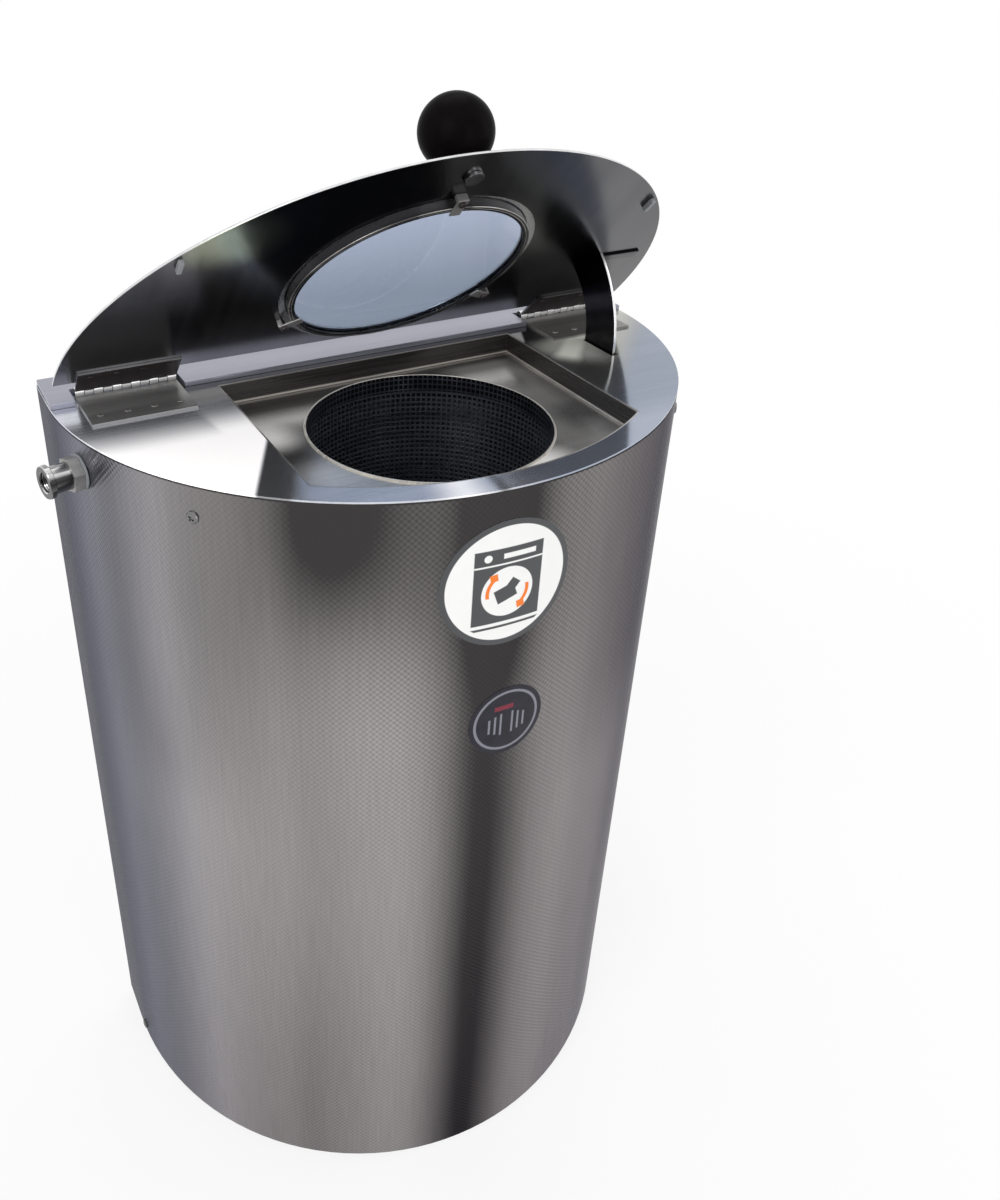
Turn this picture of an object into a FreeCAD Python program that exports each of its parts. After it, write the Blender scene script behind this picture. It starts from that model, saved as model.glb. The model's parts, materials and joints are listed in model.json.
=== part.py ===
import FreeCAD, Part
import Sketcher
import math
import os
from collections import namedtuple

Vector = FreeCAD.Vector

# Changing room spin dryer: a half-round stainless column with a perforated basket
# behind a round mouth in its deck, under a hinged D-shaped lid with a window.
# Z is up and zero on the floor. X and Y are zero on the axis of the half-round front,
# -Y is the front, and every height below is counted from the floor or from the deck.

doc = FreeCAD.newDocument("ChangingRoomSpinDryer")

# Driving dimensions, in millimetres and degrees.
SIZES = {
    # casing
    "body_radius": 280, "body_flat": 44, "body_height": 767, "skin_wall": 1.5,
    "skin_return": 22, "seam_gap": 0.3, "fit_gap": 0.3, "overrun": 5,
    # base and feet
    "base_sheet": 2, "base_upstand": 16, "foot_height": 10, "foot_radius": 16,
    "foot_front_setback": 110, "foot_front_margin": 130, "foot_back_setback": 55,
    "foot_back_behind": 12, "foot_bolt_radius": 4, "foot_bolt_end": 4,
    "foot_bolt_rise": 13, "foot_nut_size": 7.5, "foot_nut_height": 6.5,
    # back panel
    "panel_sheet": 1.5, "wall_hole_radius": 4.5, "wall_hole_setback": 100,
    "wall_hole_apart": 500, "wall_hole_low": 110, "louvre_length": 70,
    "louvre_width": 5, "louvre_pitch": 16, "louvre_low": 250,
    # deck, tray and mouth
    "deck_sheet": 1.5, "deck_skirt": 34, "tray_wing": 42.5, "tray_setback": 20,
    "tray_rim": 20.5, "tray_depth": 19, "tray_flange": 8,
    "mouth_front_gap": 48.5, "mouth_back_gap": 28.5, "mouth_bead": 1.5, "mouth_collar": 13,
    "strip_ahead": 13, "strip_rise": 5, "strip_end_gap": 0.6,
    # lid hinges
    "hinge_back": 5, "hinge_rise": 5, "hinge_end_gap": 23, "hinge_length": 85,
    "knuckle_radius": 4, "knuckle_gap": 0.4, "pin_radius": 1.5, "pin_gap": 0.05,
    "leaf_sheet": 2, "leaf_depth": 62, "lid_leaf_depth": 36, "notch_gap": 2.5, "notch_back": 8,
    "rivet_radius": 3, "rivet_rise": 0.8, "deck_rivet_row": 47, "lid_rivet_row": 28,
    # lid
    "lid_open": 45.4, "lid_edge_gap": 5, "lid_centre": 14, "lid_chord": 18.5,
    "lid_sheet": 2, "window_shift": 6, "window_margin": 5.5, "window_play": 0.4,
    "dish_rise": 3, "dish_land": 6, "dish_slope": 5.5, "seal_land": 5,
    "pane_sheet": 4, "pane_cover": 2.5, "seal_height": 8, "clip_lap": 3,
    "clip_leg": 4, "clip_reach": 11.5, "clip_width": 9, "clip_sheet": 1.5,
    "clip_screw_radius": 3, "clip_screw_head": 2,
    "knob_setback": 27, "knob_radius": 27.5, "knob_rise": 34, "knob_neck": 12,
    "knob_foot": 15, "knob_foot_height": 3, "knob_thread": 4, "knob_thread_depth": 18,
    "knob_head": 7.5, "knob_head_height": 3,
    "bumper_setback": 81, "bumper_along": 192, "bumper_length": 14,
    "bumper_width": 4, "bumper_height": 4.5,
    # sector plate that holds the lid, its guide and its lock
    "sector_setback": 80, "sector_sheet": 2.5, "sector_inner": 70,
    "sector_outer": 112, "sector_angle": 84, "sector_foot_length": 43.5,
    "sector_foot_ahead": 102, "sector_foot_width": 10, "sector_foot_sheet": 2,
    "lock_angle": 60, "lock_hole_radius": 5.5, "slot_gap": 2.5, "guide_gap": 0.3,
    "guide_wall": 8, "guide_height": 10, "bracket_gap": 12, "bracket_sheet": 2,
    "bracket_width": 40, "bracket_drop": 98, "bracket_flange": 12,
    "bolt_radius": 4, "bolt_gap": 0.05, "bolt_clear": 7, "bolt_inside": 12,
    "solenoid_length": 38, "solenoid_side": 27,
    # side union and skin screws
    "union_azimuth": 76.5, "union_drop": 31, "union_bore": 8, "union_shank": 10,
    "union_shank_length": 20, "union_stub": 11, "union_reach": 30,
    "union_ring": 13.5, "union_ring_length": 5, "union_nut": 15,
    "union_nut_length": 9, "gasket_radius": 15, "gasket_sheet": 2,
    "locknut_size": 14, "locknut_length": 6, "locknut_set": 4.2,
    "screw_azimuth": 51, "screw_drop": 27.5, "screw_low_azimuth": 86,
    "screw_low_rise": 10, "screw_head": 5, "screw_head_height": 2.2,
    "screw_shank": 2.5, "screw_length": 9,
    # spin basket, tub and drive
    "basket_overlap": 6.5, "basket_wall": 1.5, "basket_rim": 4, "basket_drop": 32,
    "basket_depth": 205, "basket_floor": 2, "dome_radius": 45, "dome_top": 16,
    "dome_rise": 25, "hub_radius": 58, "hub_flange": 6, "hub_sleeve": 18,
    "hub_sleeve_up": 8, "hub_sleeve_down": 18, "hub_nut_size": 15,
    "hub_nut_height": 8, "shaft_radius": 10, "shaft_gap": 0.05, "shaft_over": 3,
    "basket_clearance": 24.5, "tub_wall": 2, "tub_drop": 50, "tub_depth": 225,
    "tub_floor": 3, "spout_setback": 16, "spout_radius": 13, "spout_bore": 11,
    "spout_length": 30, "ring_width": 8, "ring_fold": 5,
    "housing_radius": 29, "housing_bore": 21, "housing_flange": 60,
    "housing_flange_height": 8, "housing_neck": 13, "housing_length": 64,
    "bearing_height": 12, "bearing_race": 3.5, "bearing_shoulder": 2,
    "shaft_seal_height": 8,
    "plate_setback": 5, "plate_margin": 6, "plate_sheet": 6,
    "mount_setback": 17, "mount_margin": 16, "mount_radius": 15, "mount_height": 30,
    "standoff_radius": 6, "standoff_margin": 20, "standoff_length": 70,
    "motor_cap": 8, "motor_cap_land": 8, "motor_cap_step": 6, "motor_height": 80,
    "motor_air_gap": 1.5, "motor_hole": 12, "stator_thickness": 25.5, "rotor_margin": 8,
    "shaft_tail": 12,
    # frame
    "shelf_gap": 2, "shelf_margin": 36, "shelf_sheet": 3,
    "shelf_hole_margin": 14, "post_side": 20, "post_wall": 1.5, "post_setback": 12,
    # drain and electrics
    "hose_radius": 16, "hose_bend": 60, "hose_level": 70, "hose_lap": 22,
    "outlet_flange": 22, "outlet_flange_height": 4, "outlet_inside": 46,
    "clamp_radius": 18, "clamp_width": 10,
    "box_setback": 80, "box_length": 140, "box_width": 55, "box_height": 160,
    "box_low": 90, "box_wall": 3, "box_cover": 2,
    "capacitor_radius": 20, "capacitor_height": 100, "capacitor_gap": 25,
    "capacitor_low": 110,
}

KNUCKLES = 11
RIVET_SHARES = (0.12, 0.373, 0.627, 0.88)
CLIP_ANGLES = (90, 210, 330)
LOUVRES = 6
SIDES = {"left": -1, "right": 1}

sheet = doc.addObject("Spreadsheet::Sheet", "Sizes")
for row, (alias, number) in enumerate(SIZES.items(), start=1):
    sheet.set(f"A{row}", alias)
    sheet.set(f"B{row}", str(number))
    sheet.setAlias(f"B{row}", alias)
doc.recompute()


class Size:
    """A length or angle that keeps its value with the sheet formula behind it."""

    def __init__(self, value, text):
        self.value = value
        self.text = text

    def __add__(self, other):
        other = as_size(other)
        return Size(self.value + other.value, f"({self.text} + {other.text})")

    def __sub__(self, other):
        other = as_size(other)
        return Size(self.value - other.value, f"({self.text} - {other.text})")

    def __mul__(self, other):
        other = as_size(other)
        return Size(self.value * other.value, f"({self.text} * {other.text})")

    def __truediv__(self, other):
        other = as_size(other)
        return Size(self.value / other.value, f"({self.text} / {other.text})")

    def __neg__(self):
        return Size(-self.value, f"(0 - {self.text})")

    __radd__ = __add__
    __rmul__ = __mul__


def as_size(number):
    return number if isinstance(number, Size) else Size(number, str(number))


def root_of(size):
    return Size(math.sqrt(size.value), f"sqrt({size.text})")


def sine(angle):
    angle = as_size(angle)
    return Size(math.sin(math.radians(angle.value)), f"sin({angle.text} * 1deg)")


def cosine(angle):
    angle = as_size(angle)
    return Size(math.cos(math.radians(angle.value)), f"cos({angle.text} * 1deg)")


Names = namedtuple("Names", SIZES)
S = Names(*(Size(float(number), f"Sizes.{alias}") for alias, number in SIZES.items()))
ZERO = as_size(0)
subparts = []


# Shared places, each tied to the casing's radius or to the mouth.
mouth_radius = (S.body_radius - S.mouth_front_gap - S.mouth_back_gap) / 2
drum_offset = mouth_radius + S.mouth_back_gap
tray_half_width = mouth_radius + S.tray_wing
tray_front_radius = S.body_radius - S.tray_rim
hinge_inner = S.body_radius - S.hinge_end_gap - S.hinge_length
lid_radius = S.body_radius - S.lid_edge_gap
knob_along = lid_radius + S.lid_centre - S.knob_setback
window_centre = drum_offset + S.hinge_back - S.window_shift
window_hole = mouth_radius - S.window_margin
window_sight = window_hole - S.window_play
dish_flat = window_hole + S.dish_land
dish_outer = dish_flat + S.dish_slope
seal_radius = window_hole + S.seal_land
pane_radius = seal_radius - S.pane_cover
clip_inner = window_hole - S.clip_lap
clip_outer = seal_radius + S.clip_reach
sector_across = S.body_radius - S.sector_setback
basket_radius = mouth_radius + S.basket_overlap + S.basket_wall
tub_radius = basket_radius + S.basket_clearance + S.tub_wall
spout_across = tub_radius - S.tub_wall - S.spout_setback
shelf_half_length = spout_across - S.hose_radius - S.shelf_gap
plate_half_length = shelf_half_length - S.plate_setback
shelf_half_width = drum_offset - S.shelf_margin
shelf_hole = shelf_half_width - S.shelf_hole_margin
plate_half_width = shelf_half_width - S.plate_margin
standoff_circle = shelf_hole - S.standoff_margin
motor_cap_radius = standoff_circle + S.motor_cap_land
motor_radius = motor_cap_radius - S.motor_cap_step
rotor_radius = motor_radius - S.stator_thickness - S.motor_air_gap

# Shared heights.
deck = S.foot_height + S.body_height
hinge_z = deck + S.hinge_rise
drum_y = -drum_offset
tray_floor = deck - S.tray_depth
rim_z = deck - S.basket_drop
basket_base = rim_z - S.basket_depth
tub_top = deck - S.tub_drop
tub_base = tub_top - S.tub_depth - S.tub_floor
plate_top = tub_base - S.housing_flange_height
plate_base = plate_top - S.plate_sheet
shelf_top = plate_base - S.mount_height
motor_top = plate_base - S.standoff_length
stator_top = motor_top - S.motor_cap
stator_base = stator_top - S.motor_height
base_top = S.foot_height + S.base_sheet
panel_back = S.body_flat - S.skin_wall
panel_front = panel_back - S.panel_sheet
hose_z = S.foot_height + S.hose_level


def finished(item, label):
    """Names an object as a sub-part of the dryer."""
    item.Label = label
    subparts.append(item)
    return item


def place(item, x=ZERO, y=ZERO, z=ZERO, axis=(0, 0, 1), angle=ZERO):
    """Binds an item's place and turn to the sheet."""
    x, y, z, angle = (as_size(part) for part in (x, y, z, angle))
    axis = [as_size(part) for part in axis]
    base = f"vector({x.text}; {y.text}; {z.text})"
    turn_axis = "vector(" + "; ".join(part.text for part in axis) + ")"
    item.setExpression("Placement", f"placement({base}; rotation({turn_axis}; {angle.text}))")
    item.Placement = FreeCAD.Placement(
        Vector(x.value, y.value, z.value),
        FreeCAD.Rotation(Vector(*(part.value for part in axis)), angle.value))
    return item


def on_lid(item, x=ZERO, y=ZERO, z=ZERO):
    """Places an item drawn about the hinge axis, lid closed, on the open lid."""
    rise = x, S.hinge_back + y * cosine(S.lid_open) + z * sine(S.lid_open), \
        hinge_z - y * sine(S.lid_open) + z * cosine(S.lid_open)
    return place(item, *rise, axis=(-1, 0, 0), angle=S.lid_open)


def on_skin(item, azimuth, height, outward=ZERO):
    """Points an item's Z out of the round skin at an azimuth counted from the front."""
    reach = S.body_radius + outward
    return place(item, -sine(azimuth) * reach, -cosine(azimuth) * reach, height,
                 axis=(cosine(azimuth), -sine(azimuth), 0), angle=90)


def set_size(item, **sizes):
    for name, size in sizes.items():
        size = as_size(size)
        setattr(item, name, size.value)
        item.setExpression(name, size.text)
    return item


def block(length, width, height, x=ZERO, y=ZERO, z=ZERO):
    item = doc.addObject("Part::Box", "Block")
    set_size(item, Length=length, Width=width, Height=height)
    return place(item, x, y, z)


def rod(radius, height):
    item = doc.addObject("Part::Cylinder", "Rod")
    return set_size(item, Radius=radius, Height=height)


def upright(radius, height, x, y, z):
    return place(rod(radius, height), x, y, z)


def rod_along_x(radius, length, x, y, z):
    return place(rod(radius, length), x, y, z, axis=(0, 1, 0), angle=90)


def rod_along_y(radius, length, x, y, z):
    return place(rod(radius, length), x, y, z, axis=(-1, 0, 0), angle=90)


def hexagon(size, height):
    item = doc.addObject("Part::Prism", "Hexagon")
    item.Polygon = 6
    return set_size(item, Circumradius=size, Height=height)


def fused(items):
    item = doc.addObject("Part::MultiFuse", "Joined")
    item.Shapes = items
    item.Refine = True
    return item


def grouped(items):
    item = doc.addObject("Part::Compound", "Group")
    item.Links = items
    return item


def drilled(base, tools):
    item = doc.addObject("Part::Cut", "Drilled")
    item.Base = base
    item.Tool = tools[0] if len(tools) == 1 else grouped(tools)
    return item


# Outlines: each corner may carry the arc that leads from it to the next corner.
Arc = namedtuple("Arc", "x y radius forward")
Corner = namedtuple("Corner", "x y arc")


def corner(x, y, arc=None):
    return Corner(as_size(x), as_size(y), arc)


def hold_point(sketch, edge, spot, x, y):
    """Ties a sketch point to its two coordinates in the sheet."""
    if x.text == ZERO.text:
        sketch.addConstraint(Sketcher.Constraint("PointOnObject", edge, spot, -2))
    else:
        index = sketch.addConstraint(Sketcher.Constraint("DistanceX", -1, 1, edge, spot, x.value))
        sketch.setExpression(f"Constraints[{index}]", x.text)
    if y.text == ZERO.text:
        sketch.addConstraint(Sketcher.Constraint("PointOnObject", edge, spot, -1))
    else:
        index = sketch.addConstraint(Sketcher.Constraint("DistanceY", -1, 1, edge, spot, y.value))
        sketch.setExpression(f"Constraints[{index}]", y.text)


def hold_radius(sketch, edge, radius):
    index = sketch.addConstraint(Sketcher.Constraint("Radius", edge, radius.value))
    sketch.setExpression(f"Constraints[{index}]", radius.text)


def hold_centre(sketch, edge, here, there):
    """An arc between two held ends needs one more tie: its centre, along the bisector."""
    across = abs(there.x.value - here.x.value)
    along = abs(there.y.value - here.y.value)
    kind, axis, place_of = ("DistanceY", -1, here.arc.y) if across >= along else \
        ("DistanceX", -2, here.arc.x)
    if place_of.text == ZERO.text:
        sketch.addConstraint(Sketcher.Constraint("PointOnObject", edge, 3, axis))
    else:
        index = sketch.addConstraint(Sketcher.Constraint(kind, -1, 1, edge, 3, place_of.value))
        sketch.setExpression(f"Constraints[{index}]", place_of.text)


def draw_path(sketch, corners):
    ends = []
    for here, there in zip(corners, corners[1:] + corners[:1]):
        start = Vector(here.x.value, here.y.value, 0)
        stop = Vector(there.x.value, there.y.value, 0)
        if here.arc is None:
            edge = sketch.addGeometry(Part.LineSegment(start, stop), False)
            ends.append((edge, 1, 2))
            continue
        middle = Vector(here.arc.x.value, here.arc.y.value, 0)
        circle = Part.Circle(middle, Vector(0, 0, 1), here.arc.radius.value)
        angles = [circle.parameter(start), circle.parameter(stop)]
        if not here.arc.forward:
            angles.reverse()
        edge = sketch.addGeometry(Part.ArcOfCircle(circle, *angles), False)
        ends.append((edge, 1, 2) if here.arc.forward else (edge, 2, 1))
    for (edge, _, last), (following, start, _) in zip(ends, ends[1:] + ends[:1]):
        sketch.addConstraint(Sketcher.Constraint("Coincident", edge, last, following, start))
    for here, there, (edge, start, _) in zip(corners, corners[1:] + corners[:1], ends):
        hold_point(sketch, edge, start, here.x, here.y)
        if here.arc is not None:
            hold_centre(sketch, edge, here, there)


def draw_circle(sketch, x, y, radius):
    x, y, radius = (as_size(part) for part in (x, y, radius))
    middle = Vector(x.value, y.value, 0)
    edge = sketch.addGeometry(Part.Circle(middle, Vector(0, 0, 1), radius.value), False)
    hold_point(sketch, edge, 3, x, y)
    hold_radius(sketch, edge, radius)


def new_body(label):
    body = doc.addObject("PartDesign::Body", label)
    return finished(body, label)


def new_sketch(body, plane, paths=(), circles=(), offset=ZERO):
    sketch = body.newObject("Sketcher::SketchObject", "Outline")
    origin = next(part for part in body.Origin.OriginFeatures if part.Role == plane)
    sketch.AttachmentSupport = [(origin, "")]
    sketch.MapMode = "FlatFace"
    offset = as_size(offset)
    sketch.AttachmentOffset = FreeCAD.Placement(Vector(0, 0, offset.value), FreeCAD.Rotation())
    sketch.setExpression("AttachmentOffset.Base.z", offset.text)
    for path in paths:
        draw_path(sketch, path)
    for circle in circles:
        draw_circle(sketch, *circle)
    return sketch


def add_pad(body, sketch, length, down=False):
    item = body.newObject("PartDesign::Pad", "Pad")
    item.Profile = sketch
    set_size(item, Length=length)
    item.Reversed = down
    return item


def add_pocket(body, sketch, length, up=False):
    item = body.newObject("PartDesign::Pocket", "Pocket")
    item.Profile = sketch
    set_size(item, Length=length)
    item.Reversed = up
    return item


def add_turn(body, sketch):
    item = body.newObject("PartDesign::Revolution", "Turn")
    item.Profile = sketch
    item.ReferenceAxis = (sketch, ["V_Axis"])
    item.Angle = 360
    return item


def turned(label, corners, x=ZERO, y=ZERO, z=ZERO):
    """A piece turned about its own upright axis from (radius, height) corners."""
    body = new_body(label)
    add_turn(body, new_sketch(body, "XZ_Plane", [corners]))
    return place(body, x, y, z)


def tube_profile(inner, outer, low, high):
    return [corner(inner, low), corner(outer, low), corner(outer, high), corner(inner, high)]


def d_path(radius, back):
    """The casing's plan: straight sides at the back and a half round at the front."""
    return [corner(-radius, back), corner(-radius, 0, Arc(ZERO, ZERO, radius, True)),
            corner(radius, 0), corner(radius, back)]


def tray_path(half_width, back, front_radius):
    front = -root_of(front_radius * front_radius - half_width * half_width)
    return [corner(-half_width, back),
            corner(-half_width, front, Arc(ZERO, ZERO, front_radius, True)),
            corner(half_width, front), corner(half_width, back)]


def four_places(across, along):
    return [(across * one, along * other) for one in (-1, 1) for other in (-1, 1)]


def body_skin():
    outer, inner = S.body_radius, S.body_radius - S.skin_wall
    lip, back, face = outer - S.skin_return, S.body_flat, S.body_flat - S.skin_wall
    wrap = [corner(-lip, back), corner(-outer, back),
            corner(-outer, 0, Arc(ZERO, ZERO, outer, True)),
            corner(outer, 0), corner(outer, back), corner(lip, back), corner(lip, face),
            corner(inner, face), corner(inner, 0, Arc(ZERO, ZERO, inner, False)),
            corner(-inner, 0), corner(-inner, face), corner(-lip, face)]
    body = doc.addObject("PartDesign::Body", "SkinWrap")
    sketch = new_sketch(body, "XY_Plane", [wrap], offset=S.foot_height)
    add_pad(body, sketch, S.body_height - S.deck_sheet - S.seam_gap)
    finished(drilled(body, skin_drills()), "body_skin")


def skin_drills():
    """The radial holes that the union and the skin screws share through each sheet."""
    deep = S.overrun * 2
    union = on_skin(rod(S.union_shank + S.fit_gap, deep), S.union_azimuth,
                    deck - S.union_drop, -S.overrun - S.overrun / 2)
    return [union] + [on_skin(rod(S.screw_shank + S.fit_gap, deep), azimuth, height,
                              -S.overrun - S.overrun / 2)
                      for azimuth, height in screw_places()]


def screw_places():
    high, low = deck - S.screw_drop, S.foot_height + S.screw_low_rise
    return [(S.screw_azimuth * side, high) for side in SIDES.values()] + \
        [(S.screw_low_azimuth * side, low) for side in SIDES.values()]


def back_panel():
    half = S.body_radius - S.skin_wall - S.fit_gap
    low = base_top
    high = deck - S.deck_sheet - S.deck_skirt - S.fit_gap
    panel = block(half * 2, S.panel_sheet, high - low, -half, panel_front, low)
    through = S.panel_sheet + S.overrun * 2
    start = panel_front - S.overrun
    holes = [rod_along_y(S.wall_hole_radius, through, (S.body_radius - S.wall_hole_setback) * side, start,
                         S.foot_height + S.wall_hole_low + S.wall_hole_apart * step)
             for side in SIDES.values() for step in (0, 1)]
    holes.append(rod_along_y(S.spout_radius + S.fit_gap, through, -spout_across, start,
                             hose_z))
    louvres = [block(S.louvre_length, through, S.louvre_width, -S.louvre_length / 2, start,
                     S.foot_height + S.louvre_low + S.louvre_pitch * step)
               for step in range(LOUVRES)]
    finished(drilled(panel, holes + louvres), "back_panel")


def base_plate():
    outer = S.body_radius - S.skin_wall - S.fit_gap
    body = doc.addObject("PartDesign::Body", "BasePan")
    back = panel_front - S.fit_gap
    plan = new_sketch(body, "XY_Plane", [d_path(outer, back)], offset=S.foot_height)
    add_pad(body, plan, S.base_upstand)
    hollow = new_sketch(body, "XY_Plane", [d_path(outer - S.base_sheet, back - S.base_sheet)],
                        offset=S.foot_height + S.base_upstand)
    add_pocket(body, hollow, S.base_upstand - S.base_sheet)
    bolts = [upright(S.foot_bolt_radius + S.fit_gap, S.base_sheet + S.overrun, x, y,
                     S.foot_height - S.overrun / 2) for x, y in foot_places()]
    finished(drilled(body, bolts + skin_drills()[1:]), "base_plate")


def foot_places():
    front = S.body_radius - S.foot_front_setback
    ahead = S.body_radius - S.foot_front_margin
    back = S.body_radius - S.foot_back_setback
    return [(front * side, -ahead) for side in SIDES.values()] + \
        [(back * side, S.foot_back_behind) for side in SIDES.values()]


def feet():
    pads = [drilled(upright(S.foot_radius, S.foot_height, x, y, ZERO),
                    [upright(S.foot_bolt_radius, S.foot_height, x, y, S.foot_bolt_end)])
            for x, y in foot_places()]
    finished(grouped(pads), "rubber_feet")
    bolts = []
    for x, y in foot_places():
        stud = upright(S.foot_bolt_radius, base_top - S.foot_bolt_end + S.foot_bolt_rise, x, y,
                       S.foot_bolt_end)
        nut = place(hexagon(S.foot_nut_size, S.foot_nut_height), x, y, base_top)
        bolts.append(fused([stud, nut]))
    finished(grouped(bolts), "foot_bolts")


def top_deck():
    body = doc.addObject("PartDesign::Body", "DeckSheet")
    plate = new_sketch(body, "XY_Plane",
                       [d_path(S.body_radius, S.body_flat),
                        tray_path(tray_half_width, -S.tray_setback, tray_front_radius)],
                       offset=deck)
    add_pad(body, plate, S.deck_sheet, down=True)
    outer = S.body_radius - S.skin_wall - S.fit_gap
    back = panel_back
    skirt = new_sketch(body, "XY_Plane",
                       [d_path(outer, back),
                        d_path(outer - S.deck_sheet, back - S.deck_sheet)],
                       offset=deck - S.deck_sheet)
    add_pad(body, skirt, S.deck_skirt, down=True)
    near = S.hinge_back - S.sector_inner + S.slot_gap
    far = S.hinge_back - S.sector_outer - S.slot_gap
    slot = block(S.sector_sheet + S.slot_gap * 2, near - far, S.deck_sheet + S.overrun * 2,
                 sector_across - S.slot_gap, far, deck - S.deck_sheet - S.overrun)
    finished(drilled(body, [slot] + skin_drills()[:3]), "top_deck")


def drip_tray():
    body = new_body("drip_tray")
    width, back, front = tray_half_width, -S.tray_setback, tray_front_radius
    shell = new_sketch(body, "XY_Plane", [tray_path(width, back, front)], offset=deck)
    add_pad(body, shell, S.tray_depth + S.deck_sheet, down=True)
    lip = S.tray_flange
    flange = new_sketch(body, "XY_Plane", [tray_path(width + lip, back + lip, front + lip)],
                        offset=deck - S.deck_sheet)
    add_pad(body, flange, S.deck_sheet, down=True)
    wall = S.deck_sheet
    hollow = new_sketch(body, "XY_Plane", [tray_path(width - wall, back - wall, front - wall)],
                        offset=deck)
    add_pocket(body, hollow, S.tray_depth)
    mouth = new_sketch(body, "XY_Plane", circles=[(ZERO, drum_y, mouth_radius)],
                       offset=tray_floor)
    add_pocket(body, mouth, S.deck_sheet)
    low = tray_floor - S.deck_sheet - S.mouth_collar
    collar = new_sketch(body, "XZ_Plane",
                        [tube_profile(mouth_radius, mouth_radius + wall, low,
                                      tray_floor + S.mouth_bead)],
                        offset=drum_offset)
    add_turn(body, collar)


def rear_strip():
    half = S.body_radius - S.strip_end_gap
    bar = block(half * 2, S.strip_ahead + S.body_flat, S.strip_rise, -half, -S.strip_ahead, deck)
    depth = S.strip_ahead + S.hinge_back + S.notch_back
    length = S.hinge_length + S.notch_gap * 2
    notches = []
    for side in SIDES.values():
        start = (hinge_inner + S.hinge_length / 2) * side - length / 2
        notches.append(block(length, depth + S.overrun, S.strip_rise + S.overrun * 2, start,
                             -S.strip_ahead - S.overrun, deck - S.overrun))
    finished(drilled(bar, notches), "rear_strip")


def hinge_leaf(side, first, depth, plate_low):
    """A leaf about the hinge axis: its plate, and each second knuckle from the first."""
    start = (hinge_inner + S.hinge_length / 2) * side - S.hinge_length / 2
    near = S.knuckle_radius + S.knuckle_gap
    pieces = [block(S.hinge_length, depth - near, S.leaf_sheet, start, -depth, plate_low)]
    pitch = S.hinge_length / KNUCKLES
    for number in range(first, KNUCKLES, 2):
        left = start + pitch * number + S.knuckle_gap / 2
        length = pitch - S.knuckle_gap
        pieces.append(block(length, near, S.leaf_sheet, left, -near, plate_low))
        pieces.append(rod_along_x(S.knuckle_radius, length, left, ZERO, ZERO))
    bore = rod_along_x(S.pin_radius + S.pin_gap, S.hinge_length + S.overrun * 2,
                       start - S.overrun, ZERO, ZERO)
    return drilled(fused(pieces), [bore])


def hinges():
    for name, side in SIDES.items():
        fixed = hinge_leaf(side, 0, S.leaf_depth, -S.hinge_rise)
        finished(place(fixed, y=S.hinge_back, z=hinge_z), f"hinge_deck_leaf_{name}")
        moving = hinge_leaf(side, 1, S.lid_leaf_depth, -S.leaf_sheet)
        finished(on_lid(moving), f"hinge_lid_leaf_{name}")
        start = (hinge_inner + S.hinge_length / 2) * side - S.hinge_length / 2
        finished(rod_along_x(S.pin_radius, S.hinge_length, start, S.hinge_back, hinge_z),
                 f"hinge_pin_{name}")


def rivet_places():
    for side in SIDES.values():
        for share in RIVET_SHARES:
            yield (hinge_inner + S.hinge_length * share) * side


def rivets():
    top = deck + S.leaf_sheet
    deck_heads = [upright(S.rivet_radius, S.rivet_rise, x, S.hinge_back - S.deck_rivet_row, top)
                  for x in rivet_places()]
    finished(grouped(deck_heads), "deck_rivets")
    low = -S.leaf_sheet - S.rivet_rise
    lid_heads = [upright(S.rivet_radius, S.rivet_rise, x, -S.lid_rivet_row, low)
                 for x in rivet_places()]
    finished(on_lid(grouped(lid_heads)), "lid_rivets")


def lid_panel():
    body = doc.addObject("PartDesign::Body", "LidSheet")
    half = root_of(lid_radius * lid_radius
                   - (S.lid_chord - S.lid_centre) * (S.lid_chord - S.lid_centre))
    edge = [corner(half, -S.lid_chord),
            corner(-half, -S.lid_chord, Arc(ZERO, -S.lid_centre, lid_radius, True))]
    plan = new_sketch(body, "XY_Plane", [edge],
                      [(ZERO, -window_centre, dish_outer)])
    add_pad(body, plan, S.lid_sheet)
    top = S.dish_rise + S.lid_sheet
    dish = [corner(dish_outer, 0), corner(dish_outer, S.lid_sheet),
            corner(dish_flat, top), corner(window_hole, top),
            corner(window_hole, S.dish_rise), corner(dish_flat, S.dish_rise)]
    add_turn(body, new_sketch(body, "XZ_Plane", [dish], offset=window_centre))
    screw = upright(S.knob_thread, S.lid_sheet + S.overrun * 2, ZERO, -knob_along, -S.overrun)
    finished(on_lid(drilled(body, [screw])), "lid_panel")


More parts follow.
